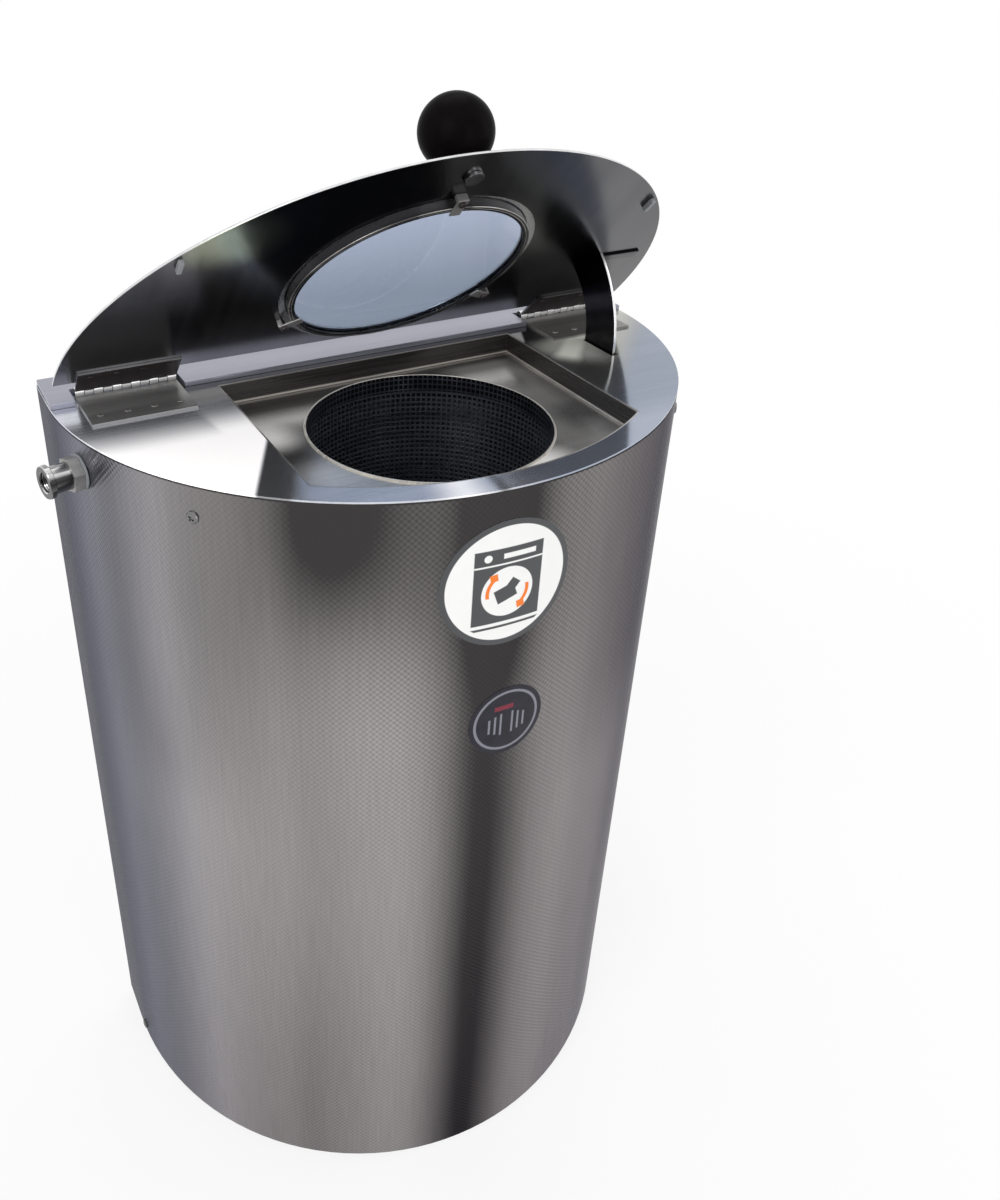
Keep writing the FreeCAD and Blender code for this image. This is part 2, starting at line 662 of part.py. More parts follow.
def window():
    """The pane in its rubber channel, held up against the dish by three clips."""
    low = S.dish_rise - S.seal_height
    high = S.dish_rise
    middle = (low + high) / 2
    pane_low, pane_high = middle - S.pane_sheet / 2, middle + S.pane_sheet / 2
    pane = turned("window_pane", [corner(0, pane_low), corner(pane_radius, pane_low),
                                  corner(pane_radius, pane_high), corner(0, pane_high)])
    on_lid(pane, y=-window_centre)
    channel = [corner(window_sight, low), corner(seal_radius, low),
               corner(seal_radius, high), corner(window_sight, high),
               corner(window_sight, pane_high), corner(pane_radius, pane_high),
               corner(pane_radius, pane_low), corner(window_sight, pane_low)]
    on_lid(turned("window_seal", channel), y=-window_centre)
    clips, screws = [], []
    for angle in CLIP_ANGLES:
        leg = block(S.clip_leg, S.clip_width, -low, clip_outer - S.clip_leg,
                    -S.clip_width / 2, low)
        finger = block(clip_outer - clip_inner, S.clip_width, S.clip_sheet, clip_inner,
                       -S.clip_width / 2, low - S.clip_sheet)
        head = upright(S.clip_screw_radius, S.clip_screw_head, clip_outer - S.clip_leg, ZERO,
                       low - S.clip_sheet - S.clip_screw_head)
        clips.append(place(fused([leg, finger]), angle=-angle))
        screws.append(place(grouped([head]), angle=-angle))
    finished(on_lid(grouped(clips), y=-window_centre), "window_clips")
    finished(on_lid(grouped(screws), y=-window_centre), "clip_screws")


def knob():
    foot, ball = S.knob_foot_height, S.knob_radius
    waist = S.knob_rise - root_of(ball * ball - S.knob_neck * S.knob_neck)
    outline = [corner(S.knob_thread, 0), corner(S.knob_foot, 0), corner(S.knob_foot, foot),
               corner(S.knob_neck, foot),
               corner(S.knob_neck, waist, Arc(ZERO, S.knob_rise, ball, True)),
               corner(0, S.knob_rise + ball), corner(0, S.knob_thread_depth),
               corner(S.knob_thread, S.knob_thread_depth)]
    on_lid(turned("ball_knob", outline), y=-knob_along, z=S.lid_sheet)
    low = -S.knob_head_height
    high = S.lid_sheet + S.knob_thread_depth
    screw = [corner(0, low), corner(S.knob_head, low), corner(S.knob_head, 0),
             corner(S.knob_thread, 0), corner(S.knob_thread, high), corner(0, high)]
    on_lid(turned("knob_screw", screw), y=-knob_along)


def sector_plate():
    """The arc plate under the lid that runs down through the deck's slot."""
    body = doc.addObject("PartDesign::Body", "SectorArc")
    inner, outer, angle = S.sector_inner, S.sector_outer, S.sector_angle
    band = [corner(-outer, 0, Arc(ZERO, ZERO, outer, True)),
            corner(-outer * cosine(angle), -outer * sine(angle)),
            corner(-inner * cosine(angle), -inner * sine(angle),
                   Arc(ZERO, ZERO, inner, False)),
            corner(-inner, 0)]
    middle = (inner + outer) / 2
    hole = (-middle * cosine(S.lock_angle), -middle * sine(S.lock_angle), S.lock_hole_radius)
    add_pad(body, new_sketch(body, "YZ_Plane", [band], [hole], offset=sector_across),
            S.sector_sheet)
    start = sector_across + S.sector_sheet
    foot = block(S.sector_foot_length, S.sector_foot_width, S.sector_foot_sheet, start,
                 -S.sector_foot_ahead - S.sector_foot_width / 2, -S.sector_foot_sheet)
    finished(on_lid(fused([body, foot])), "sector_plate")


def lid_bumpers():
    pads = [block(S.bumper_width, S.bumper_length, S.bumper_height,
                  (S.body_radius - S.bumper_setback) * side - S.bumper_width / 2,
                  -S.bumper_along - S.bumper_length / 2, -S.bumper_height)
            for side in SIDES.values()]
    finished(on_lid(grouped(pads)), "lid_bumpers")


def lid_lock():
    """The guide, bracket, solenoid and bolt that meet the sector plate below the deck."""
    under = deck - S.deck_sheet
    near = S.hinge_back - S.sector_inner + S.slot_gap
    far = S.hinge_back - S.sector_outer - S.slot_gap
    wall = S.guide_wall
    guide = block(S.sector_sheet + S.guide_gap * 2 + wall * 2, near - far + wall * 2,
                  S.guide_height, sector_across - S.guide_gap - wall, far - wall,
                  under - S.guide_height)
    passage = block(S.sector_sheet + S.guide_gap * 2, near - far, S.guide_height + S.overrun * 2,
                    sector_across - S.guide_gap, far, under - S.guide_height - S.overrun)
    finished(drilled(guide, [passage]), "slot_guide")
    middle = (S.sector_inner + S.sector_outer) / 2
    bolt_y = S.hinge_back - middle * cosine(S.lock_angle)
    bolt_z = hinge_z - middle * sine(S.lock_angle)
    right = sector_across - S.bracket_gap
    plate = block(S.bracket_sheet, S.bracket_width, S.bracket_drop, right - S.bracket_sheet,
                  bolt_y - S.bracket_width / 2, under - S.bracket_drop)
    flange = block(S.bracket_flange, S.bracket_width, S.bracket_sheet,
                   right - S.bracket_flange, bolt_y - S.bracket_width / 2,
                   under - S.bracket_sheet)
    bore = S.bolt_radius + S.bolt_gap
    hole = rod_along_x(bore, S.overrun * 2, right - S.overrun - S.bracket_sheet, bolt_y, bolt_z)
    finished(drilled(fused([plate, flange]), [hole]), "lock_bracket")
    face = right - S.bracket_sheet
    side = S.solenoid_side
    coil = block(S.solenoid_length, side, side, face - S.solenoid_length, bolt_y - side / 2,
                 bolt_z - side / 2)
    inside = rod_along_x(bore, S.solenoid_length, face - S.solenoid_length + S.bolt_inside / 2,
                         bolt_y, bolt_z)
    finished(drilled(coil, [inside]), "lock_solenoid")
    start = face - S.solenoid_length + S.bolt_inside
    finished(rod_along_x(S.bolt_radius, sector_across - S.bolt_clear - start, start,
                         bolt_y, bolt_z), "lock_bolt")


def side_union():
    height = deck - S.union_drop
    reach, ring = S.union_reach, S.union_ring_length
    low = S.gasket_sheet
    outline = [corner(S.union_bore, -S.union_shank_length),
               corner(S.union_shank, -S.union_shank_length), corner(S.union_shank, low),
               corner(S.union_stub, low), corner(S.union_stub, reach - ring),
               corner(S.union_ring, reach - ring), corner(S.union_ring, reach),
               corner(S.union_bore, reach)]
    on_skin(turned("side_union", outline), S.union_azimuth, height)
    nut = drilled(hexagon(S.union_nut, S.union_nut_length),
                  [rod(S.union_stub, S.union_nut_length)])
    finished(on_skin(nut, S.union_azimuth, height, S.gasket_sheet), "union_hex_nut")
    gasket = drilled(rod(S.gasket_radius, S.gasket_sheet), [rod(S.union_shank, S.gasket_sheet)])
    finished(on_skin(gasket, S.union_azimuth, height), "union_gasket")
    locknut = drilled(hexagon(S.locknut_size, S.locknut_length),
                      [rod(S.union_shank, S.locknut_length)])
    inward = -S.locknut_set - S.locknut_length
    finished(on_skin(locknut, S.union_azimuth, height, inward), "union_locknut")


def skin_screws():
    screws = []
    for azimuth, height in screw_places():
        head = on_skin(rod(S.screw_head, S.screw_head_height), azimuth, height)
        shank = on_skin(rod(S.screw_shank, S.screw_length), azimuth, height, -S.screw_length)
        screws.append(fused([head, shank]))
    finished(grouped(screws), "skin_screws")


def spin_basket():
    outer, wall, rim = basket_radius, S.basket_wall, S.basket_rim
    inner, base, floor = outer - wall, basket_base, S.basket_floor
    outline = [corner(0, base + S.dome_rise), corner(S.dome_top, base + S.dome_rise),
               corner(S.dome_radius, base), corner(outer, base),
               corner(outer, rim_z - rim, Arc(outer, rim_z - rim / 2, rim / 2, True)),
               corner(outer, rim_z),
               corner(inner, rim_z), corner(inner, base + floor),
               corner(S.dome_radius + floor, base + floor),
               corner(S.dome_top + floor, base + S.dome_rise + floor),
               corner(0, base + S.dome_rise + floor)]
    turned("spin_basket", outline, y=drum_y)


def basket_drive():
    base, shaft = basket_base, S.shaft_radius
    up, down = base + S.hub_sleeve_up, base - S.hub_sleeve_down
    hub = [corner(shaft, down), corner(S.hub_sleeve, down),
           corner(S.hub_sleeve, base - S.hub_flange), corner(S.hub_radius, base - S.hub_flange),
           corner(S.hub_radius, base), corner(S.hub_sleeve, base), corner(S.hub_sleeve, up),
           corner(shaft, up)]
    turned("basket_hub", hub, y=drum_y)
    nut = drilled(hexagon(S.hub_nut_size, S.hub_nut_height), [rod(shaft, S.hub_nut_height)])
    finished(place(nut, y=drum_y, z=up), "hub_nut")
    top = up + S.hub_nut_height + S.shaft_over
    tail = stator_base - S.motor_cap - S.shaft_tail
    turned("drive_shaft", [corner(0, tail), corner(shaft, tail), corner(shaft, top),
                           corner(0, top)], y=drum_y)
    turned("motor_rotor", tube_profile(shaft, rotor_radius, stator_base + S.rotor_margin,
                                       stator_top - S.rotor_margin), y=drum_y)


def outer_tub():
    outer, inner = tub_radius, tub_radius - S.tub_wall
    floor = tub_base + S.tub_floor
    hole = S.housing_radius + S.fit_gap
    body = doc.addObject("PartDesign::Body", "TubShell")
    cup = [corner(hole, tub_base), corner(outer, tub_base), corner(outer, tub_top),
           corner(inner, tub_top), corner(inner, floor), corner(hole, floor)]
    add_turn(body, new_sketch(body, "XZ_Plane", [cup]))
    spout = upright(S.spout_radius, S.spout_length + S.tub_floor / 2, -spout_across, ZERO,
                    tub_base - S.spout_length)
    bore = upright(S.spout_bore, S.spout_length + S.tub_floor + S.overrun * 2, -spout_across,
                   ZERO, tub_base - S.spout_length - S.overrun)
    finished(place(drilled(fused([body, spout]), [bore]), y=drum_y), "outer_tub")
    high = tray_floor - S.deck_sheet
    inner = tub_radius - S.ring_width
    middle = (tub_top + high) / 2
    fold = S.ring_fold
    wall = S.ring_width
    folded = [corner(inner, tub_top), corner(tub_radius, tub_top),
              corner(tub_radius - fold, middle), corner(tub_radius, high),
              corner(inner, high), corner(tub_radius - wall - fold, middle)]
    turned("tub_bellows", folded, y=drum_y)


def bearings():
    top, flange = tub_base, plate_top
    low = flange - S.housing_length + S.housing_flange_height
    bore, outer = S.housing_bore, S.housing_radius
    neck = top + S.housing_neck
    outline = [corner(bore, low), corner(outer, low), corner(outer, flange),
               corner(S.housing_flange, flange), corner(S.housing_flange, top),
               corner(outer, top), corner(outer, neck), corner(bore, neck)]
    turned("bearing_housing", outline, y=drum_y)
    inner = S.shaft_radius + S.shaft_gap
    high = S.bearing_height
    race = S.bearing_race
    step = S.bearing_shoulder
    for name, base in (("upper_bearing", neck - S.shaft_seal_height - step - high),
                       ("lower_bearing", low + step)):
        ring = [corner(inner, base), corner(inner + race, base),
                corner(inner + race, base + step / 2), corner(bore - race, base + step / 2),
                corner(bore - race, base), corner(bore, base), corner(bore, base + high),
                corner(bore - race, base + high), corner(bore - race, base + high - step / 2),
                corner(inner + race, base + high - step / 2), corner(inner + race, base + high),
                corner(inner, base + high)]
        turned(name, ring, y=drum_y)
    seal = neck - S.shaft_seal_height
    turned("shaft_seal", tube_profile(inner, bore, seal, neck), y=drum_y)


def drive_plate():
    length, width = plate_half_length, plate_half_width
    plate = block(length * 2, width * 2, S.plate_sheet, -length, -width, plate_base)
    hole = upright(S.housing_radius + S.fit_gap, S.plate_sheet + S.overrun * 2, ZERO, ZERO,
                   plate_base - S.overrun)
    finished(place(drilled(plate, [hole]), y=drum_y), "drive_plate")
    mounts = [upright(S.mount_radius, S.mount_height, x, y, shelf_top)
              for x, y in four_places(plate_half_length - S.mount_setback,
                                 plate_half_width - S.mount_margin)]
    finished(place(grouped(mounts), y=drum_y), "rubber_mounts")
    share = cosine(45)
    posts = [upright(S.standoff_radius, S.standoff_length, x, y, motor_top)
             for x, y in four_places(standoff_circle * share, standoff_circle * share)]
    finished(place(grouped(posts), y=drum_y), "motor_standoffs")


def motor():
    hole, cap = S.motor_hole, S.motor_cap
    turned("motor_top_cap", tube_profile(hole, motor_cap_radius, stator_top, motor_top),
           y=drum_y)
    bore = rotor_radius + S.motor_air_gap
    turned("motor_stator", tube_profile(bore, motor_radius, stator_base, stator_top), y=drum_y)
    turned("motor_bottom_cap", tube_profile(hole, motor_radius, stator_base - cap,
                                            stator_base), y=drum_y)


def frame():
    length, width = shelf_half_length, shelf_half_width
    plate = block(length * 2, width * 2, S.shelf_sheet, -length, -width,
                  shelf_top - S.shelf_sheet)
    hole = upright(shelf_hole, S.shelf_sheet + S.overrun * 2, ZERO, ZERO,
                   shelf_top - S.shelf_sheet - S.overrun)
    finished(place(drilled(plate, [hole]), y=drum_y), "frame_shelf")
    side, inner = S.post_side, S.post_side - S.post_wall * 2
    height = shelf_top - S.shelf_sheet - base_top
    posts = []
    for x, y in four_places(length - S.post_setback, width - S.post_setback):
        outside = block(side, side, height, x - side / 2, y - side / 2, base_top)
        inside = block(inner, inner, height, x - inner / 2, y - inner / 2, base_top)
        posts.append(drilled(outside, [inside]))
    finished(place(grouped(posts), y=drum_y), "frame_posts")


def hose_pipe(radius):
    """One solid rod along the hose's route: down, a quarter bend, and out to the back."""
    bend = S.hose_bend
    start = tub_base - S.spout_length + S.hose_lap
    turn = hose_z + bend
    across = -spout_across
    down = upright(radius, start - turn, across, drum_y, turn)
    elbow = doc.addObject("Part::Torus", "Elbow")
    set_size(elbow, Radius1=bend, Radius2=radius)
    elbow.Angle3 = 90
    place(elbow, across, drum_y + bend, turn, axis=(-1, 1, -1), angle=120)
    run = panel_front - S.outlet_inside + S.hose_lap - drum_y - bend
    level = rod_along_y(radius, run, across, drum_y + bend, hose_z)
    return fused([down, elbow, level])


def drain():
    finished(drilled(hose_pipe(S.hose_radius), [hose_pipe(S.spout_radius)]), "drain_hose")
    spigot = rod_along_y(S.spout_radius, S.outlet_inside + S.panel_sheet + S.skin_wall,
                         -spout_across, panel_front - S.outlet_inside, hose_z)
    flange = rod_along_y(S.outlet_flange, S.outlet_flange_height, -spout_across,
                         panel_front - S.outlet_flange_height, hose_z)
    bore = rod_along_y(S.spout_bore, S.outlet_inside + S.overrun * 4, -spout_across,
                       panel_front - S.outlet_inside - S.overrun, hose_z)
    finished(drilled(fused([spigot, flange]), [bore]), "drain_outlet")
    upper = drilled(rod(S.clamp_radius, S.clamp_width), [rod(S.hose_radius, S.clamp_width)])
    place(upper, -spout_across, drum_y, tub_base - S.spout_length / 2 - S.clamp_width / 2)
    lower = drilled(rod(S.clamp_radius, S.clamp_width), [rod(S.hose_radius, S.clamp_width)])
    place(lower, -spout_across, panel_front - S.outlet_inside + S.hose_lap / 2
          - S.clamp_width / 2, hose_z, axis=(-1, 0, 0), angle=90)
    finished(grouped([upper, lower]), "hose_clamps")


def electrics():
    low = S.foot_height + S.box_low
    across = S.body_radius - S.box_setback - S.box_length
    front = panel_front - S.box_width
    wall = S.box_wall
    outside = block(S.box_length, S.box_width, S.box_height, across, front, low)
    inside = block(S.box_length - wall * 2, S.box_width, S.box_height - wall * 2,
                   across + wall, front - wall, low + wall)
    finished(drilled(outside, [inside]), "control_box")
    finished(block(S.box_length, S.box_cover, S.box_height, across, front - S.box_cover,
                   low), "control_cover")
    finished(upright(S.capacitor_radius, S.capacitor_height,
                     across - S.capacitor_gap - S.capacitor_radius,
                     panel_front - S.capacitor_radius, S.foot_height + S.capacitor_low),
             "motor_capacitor")


for build in (body_skin, back_panel, base_plate, feet, top_deck, drip_tray, rear_strip, hinges,
              rivets, lid_panel, window, knob, sector_plate, lid_bumpers, lid_lock, side_union,
              skin_screws, spin_basket, basket_drive, outer_tub, bearings, drive_plate, motor,
              frame, drain, electrics):
    build()
doc.recompute()

for item in doc.Objects:
    if "Invalid" in item.State or "Error" in item.State:
        raise RuntimeError(f"{item.Label} did not build: {item.State}")
for item in subparts:
    if item.Shape.isNull() or not item.Shape.isValid():
        raise RuntimeError(f"{item.Label} has no valid shape")

os.makedirs("parts", exist_ok=True)
for item in subparts:
    item.Shape.exportStep(os.path.join("parts", f"{item.Label}.step"))
    print(f"{item.Label}: {len(item.Shape.Solids)} solids, {item.Shape.Volume:.0f} cubic mm")
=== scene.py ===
import bpy
import json
import math
from mathutils import Matrix, Vector

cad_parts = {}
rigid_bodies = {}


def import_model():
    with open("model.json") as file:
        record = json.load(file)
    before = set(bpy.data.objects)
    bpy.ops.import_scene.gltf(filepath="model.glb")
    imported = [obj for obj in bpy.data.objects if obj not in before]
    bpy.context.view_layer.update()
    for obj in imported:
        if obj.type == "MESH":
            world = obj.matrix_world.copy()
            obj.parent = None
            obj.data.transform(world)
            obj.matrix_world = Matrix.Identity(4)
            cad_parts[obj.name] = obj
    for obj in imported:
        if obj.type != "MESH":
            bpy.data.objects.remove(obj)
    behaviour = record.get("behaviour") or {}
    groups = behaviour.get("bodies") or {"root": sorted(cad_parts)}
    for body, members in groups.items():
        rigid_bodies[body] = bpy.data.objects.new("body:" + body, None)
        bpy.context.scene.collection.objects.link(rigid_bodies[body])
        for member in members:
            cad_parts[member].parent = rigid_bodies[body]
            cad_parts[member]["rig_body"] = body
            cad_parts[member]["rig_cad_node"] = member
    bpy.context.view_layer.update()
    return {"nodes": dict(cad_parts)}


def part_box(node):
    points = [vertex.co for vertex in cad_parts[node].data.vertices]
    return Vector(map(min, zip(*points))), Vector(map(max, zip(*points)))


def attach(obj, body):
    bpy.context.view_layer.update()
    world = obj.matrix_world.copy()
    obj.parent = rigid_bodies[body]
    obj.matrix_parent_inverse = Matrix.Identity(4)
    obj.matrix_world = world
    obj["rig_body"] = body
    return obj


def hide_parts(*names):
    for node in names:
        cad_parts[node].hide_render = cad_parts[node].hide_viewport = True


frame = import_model()
bpy.ops.object.select_all(action="DESELECT")

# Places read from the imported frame, in metres. Z is up and zero on the floor, X and Y are zero
# on the axis of the half-round front, and the front looks along -Y.
deck_low, deck_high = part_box("top_deck")
basket_low, basket_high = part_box("spin_basket")
pin_low, pin_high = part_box("hinge_pin_left")
DECK = deck_high.z
BODY_RADIUS = -deck_low.y
DRUM = (basket_low.y + basket_high.y) / 2
PANEL_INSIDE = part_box("back_panel")[0].y
HINGE = (pin_low + pin_high) / 2
HINGE.x = 0

# The lid as it rests. A place on it is given as on the closed lid, from the hinge's axis.
LID_OPEN = math.radians(45.4)
LID = Matrix.Translation(HINGE) @ Matrix.Rotation(-LID_OPEN, 4, "X")
LID_OUTWARD = LID.to_3x3() @ Vector((0, 0, 1))
LID_SHEET = 0.002
WINDOW_SETBACK = 0.129
WINDOW_MIDDLE = LID @ Vector((0, -WINDOW_SETBACK, 0))
KNOB_SETBACK = 0.262

# The basket's wall and its square cells, and the spacing of the lines that show in the neck.
BASKET_RADIUS = 0.1095
CELLS_ROUND = 144
CELLS_HIGH = 40
NECK_LINE_PITCH = 0.0049

# The skin's emboss, and the middles of the two labels: across, and height.
EMBOSS_PITCH = 0.0052
USE_LABEL = (-0.0145, DECK - 0.0805)
ROUND_BADGE = (-0.006, DECK - 0.2135)


# Camera and lamps.
bpy.ops.object.camera_add(location=(-0.3975, -0.8283, DECK + 0.3626),
                          rotation=(math.radians(60.96), math.radians(-0.48),
                                    math.radians(-26.54)))
camera = bpy.context.object
camera.data.sensor_fit = "AUTO"
camera.data.sensor_width = 36
camera.data.lens = 32.41
camera.data.shift_x = 0.0996
camera.data.shift_y = -0.0898
camera.data.clip_start = 0.02
camera.data.dof.use_dof = False
bpy.context.scene.camera = camera
bpy.context.scene.view_settings.view_transform = "Standard"


def add_softbox(name, spot, aim, size, power):
    bpy.ops.object.light_add(type="AREA", location=spot)
    lamp = bpy.context.object
    lamp.name = name
    lamp.data.shape = "RECTANGLE"
    lamp.data.size, lamp.data.size_y = size
    lamp.data.energy = power
    lamp.rotation_euler = (Vector(aim) - Vector(spot)).to_track_quat("-Z", "Y").to_euler()


add_softbox("key_softbox", spot=(-1.9, -1.3, 2.0), aim=(0, -0.1, 0.6), size=(1.2, 1.6), power=24)
add_softbox("strip_softbox", spot=(0.35, -2.6, 1.2), aim=(0, -0.1, 0.5), size=(0.5, 1.9), power=9)
add_softbox("side_softbox", spot=(2.1, -0.9, 1.3), aim=(0, -0.1, 0.5), size=(0.7, 1.8), power=8)
add_softbox("top_softbox", spot=(0.2, 0.6, 2.7), aim=(0, 0, 0.7), size=(1.6, 1.2), power=14)


# Shader nodes. Each function adds to a node tree and gives the socket that holds its result.
def add_node(tree, kind, **values):
    made = tree.nodes.new(kind)
    for name, value in values.items():
        setattr(made, name, value)
    return made


def feed(tree, socket, value):
    """Sets a socket to a number or a colour, or links it to a value that varies."""
    if isinstance(value, tuple):
        socket.default_value = (*value, 1)
    elif isinstance(value, (int, float)):
        socket.default_value = value
    else:
        tree.links.new(value, socket)


def feed_named(tree, node, **values):
    """Feeds a node's sockets by their names, written with _ for a space."""
    for label, value in values.items():
        feed(tree, node.inputs[label.replace("_", " ")], value)


def maths(tree, operation, *values):
    made = add_node(tree, "ShaderNodeMath", operation=operation)
    for socket, value in zip(made.inputs, values):
        feed(tree, socket, value)
    return made.outputs[0]


def chained(operation):
    """A function that takes any number of values through one operation in turn."""
    def chain(tree, value, *others):
        for other in others:
            value = maths(tree, operation, value, other)
        return value
    return chain


times = chained("MULTIPLY")
plus = chained("ADD")
less = chained("SUBTRACT")
any_of = chained("MAXIMUM")
all_of = chained("MINIMUM")


def times_plus(tree, value, factor, rest):
    return maths(tree, "MULTIPLY_ADD", value, factor, rest)


def no_part_of(tree, mask):
    return less(tree, 1.0, mask)


def mixed(tree, share, first, second):
    """From the first colour at a share of 0 to the second at 1."""
    made = add_node(tree, "ShaderNodeMix", data_type="RGBA")
    # The colour sockets of a mix node are its inputs 6 and 7 and its output 2.
    for number, value in ((0, share), (6, first), (7, second)):
        feed(tree, made.inputs[number], value)
    return made.outputs[2]


def ranged(tree, value, low, high, to_low=0.0, to_high=1.0, kind="LINEAR"):
    """Takes low to one number and high to another, and stays there beyond them."""
    made = add_node(tree, "ShaderNodeMapRange", interpolation_type=kind)
    for socket, given in zip(made.inputs, (value, low, high, to_low, to_high)):
        feed(tree, socket, given)
    return made.outputs[0]


def eased(tree, value, low, high, to_low=0.0, to_high=1.0):
    """Like ranged, with soft ends."""
    return ranged(tree, value, low, high, to_low, to_high, "SMOOTHSTEP")


def band(tree, value, middle, half_width):
    """1 at a middle value, falling softly to 0 at a half width on each side."""
    far = maths(tree, "ABSOLUTE", less(tree, value, middle))
    return eased(tree, far, half_width, 0)


def ramp(tree, value, *stops):
    """Greys at places from 0 to 1 along a value."""
    made = add_node(tree, "ShaderNodeValToRGB")
    feed(tree, made.inputs[0], value)
    points = made.color_ramp.elements
    points[0].position, points[1].position = stops[0][0], stops[-1][0]
    points[0].color = (*[stops[0][1]] * 3, 1)
    points[1].color = (*[stops[-1][1]] * 3, 1)
    for place, grey in stops[1:-1]:
        points.new(place).color = (grey, grey, grey, 1)
    return made.outputs["Color"]


def mapped(tree, place, scale=(1, 1, 1), shift=(0, 0, 0)):
    made = add_node(tree, "ShaderNodeMapping")
    made.inputs["Location"].default_value = shift
    made.inputs["Scale"].default_value = scale
    feed(tree, made.inputs["Vector"], place)
    return made.outputs[0]


def own_place(tree, scale=(1, 1, 1), shift=(0, 0, 0)):
    """The piece's own coordinates, stretched or shifted."""
    place = add_node(tree, "ShaderNodeTexCoord").outputs["Object"]
    return mapped(tree, place, scale, shift)


def axes(tree, place):
    """The X, Y and Z of a place."""
    split = add_node(tree, "ShaderNodeSeparateXYZ")
    feed(tree, split.inputs[0], place)
    return split.outputs


def distance(tree, place, point=(0, 0, 0)):
    made = add_node(tree, "ShaderNodeVectorMath", operation="DISTANCE")
    feed(tree, made.inputs[0], place)
    made.inputs[1].default_value = point
    return made.outputs["Value"]


def scaled(tree, colour, share):
    made = add_node(tree, "ShaderNodeVectorMath", operation="SCALE")
    feed(tree, made.inputs[0], colour)
    feed(tree, made.inputs["Scale"], share)
    return made.outputs[0]


# What a noise value mostly lies between.
NOISE = (0.3, 0.7)


def cloudy(tree, place, scale, detail=2.0, rough=0.5):
    made = add_node(tree, "ShaderNodeTexNoise")
    feed_named(tree, made, Vector=place, Scale=scale, Detail=detail, Roughness=rough)
    return made.outputs["Fac"]


def turn_about_z(tree, across, along):
    """Degrees round the casing, counted to the left from the front."""
    turn = maths(tree, "ARCTAN2", times(tree, across, -1), times(tree, along, -1))
    return times(tree, turn, 180 / math.pi)


def near_spot(tree, x, y, reach, rise):
    """A soft round patch about a point of the plan: rise at the point, nothing at its reach."""
    away = distance(tree, own_place(tree, (1, 1, 0)), (x, y, 0))
    return eased(tree, away, reach, 0, 0, rise)


# The white room.
def where_white_shows(tree):
    """1 for what the camera, reflections and glass see, and 0 for the light itself."""
    path = add_node(tree, "ShaderNodeLightPath")
    return any_of(tree, path.outputs["Is Camera Ray"], path.outputs["Is Glossy Ray"],
                  path.outputs["Is Transmission Ray"])


def mix_shaders(tree, share, first, second, out):
    mix = add_node(tree, "ShaderNodeMixShader")
    for socket, value in zip(mix.inputs, (share, first, second)):
        feed(tree, socket, value)
    feed(tree, out.inputs[0], mix.outputs[0])


def light_the_room():
    """A room that looks white and gives a softer light than that."""
    world = bpy.data.worlds.new("studio_room")
    bpy.context.scene.world = world
    world.use_nodes = True
    tree = world.node_tree
    tree.nodes.clear()
    soft = add_node(tree, "ShaderNodeBackground")
    white = add_node(tree, "ShaderNodeBackground")
    feed_named(tree, soft, Color=(1, 1, 1), Strength=0.62)
    feed_named(tree, white, Color=(1, 1, 1))
    mix_shaders(tree, where_white_shows(tree), soft.outputs[0], white.outputs[0],
                add_node(tree, "ShaderNodeOutputWorld"))


light_the_room()


# Node groups that several materials share.
def new_group(name, outputs, **inputs):
    """A node group. Its inputs come with their defaults, and a place with None."""
    group = bpy.data.node_groups.new(name, "ShaderNodeTree")
    for label, value in inputs.items():
        kind = "NodeSocketVector" if value is None else "NodeSocketFloat"
        socket = group.interface.new_socket(name=label.replace("_", " "), in_out="INPUT",
                                            socket_type=kind)
        if value is not None:
            socket.default_value = value
    for label in outputs:
        group.interface.new_socket(name=label, in_out="OUTPUT", socket_type="NodeSocketFloat")
    return group, add_node(group, "NodeGroupInput").outputs, add_node(group, "NodeGroupOutput")


def make_brushed_lines():
    """Long fine scratches and wider bands, from noise stretched along the brushing."""
    group, given, made = new_group("brushed_lines", ["Lines", "Bands"], Place=None, Fineness=3.0)
    place, fineness = given["Place"], given["Fineness"]
    feed_named(group, made, Lines=cloudy(group, place, fineness, 3),
               Bands=cloudy(group, place, times(group, fineness, 0.12)))
    return group


def make_handling_marks():
    """Faint marks of hands and dried drops, as a value from 0 to 1."""
    group, given, made = new_group("handling_marks", ["Marks"], Place=None, Scale=9.0)
    cloud = cloudy(group, given["Place"], given["Scale"], 5, 0.6)
    feed_named(group, made, Marks=ranged(group, cloud, 0.38, 0.68))
    return group


PRINT_PLACE = {"Across": 0.0, "Up": 0.0, "Middle_Across": 0.0, "Middle_Up": 0.0}
PRINT_EDGE = 0.0003


def from_middle(group, given):
    """Across and up from the middle of a printed shape."""
    return (less(group, given["Across"], given["Middle Across"]),
            less(group, given["Up"], given["Middle Up"]))


def crisp(group, inward):
    """1 where the way in from an edge is positive, and 0 outside."""
    return ranged(group, inward, -PRINT_EDGE, PRINT_EDGE)


def make_printed_disc():
    """1 inside a printed disc about a point, with a crisp edge."""
    group, given, made = new_group("printed_disc", ["Inside"], **PRINT_PLACE, Radius=0.01)
    across, up = from_middle(group, given)
    squares = plus(group, times(group, across, across), times(group, up, up))
    far = maths(group, "SQRT", squares)
    feed_named(group, made, Inside=crisp(group, less(group, given["Radius"], far)))
    return group


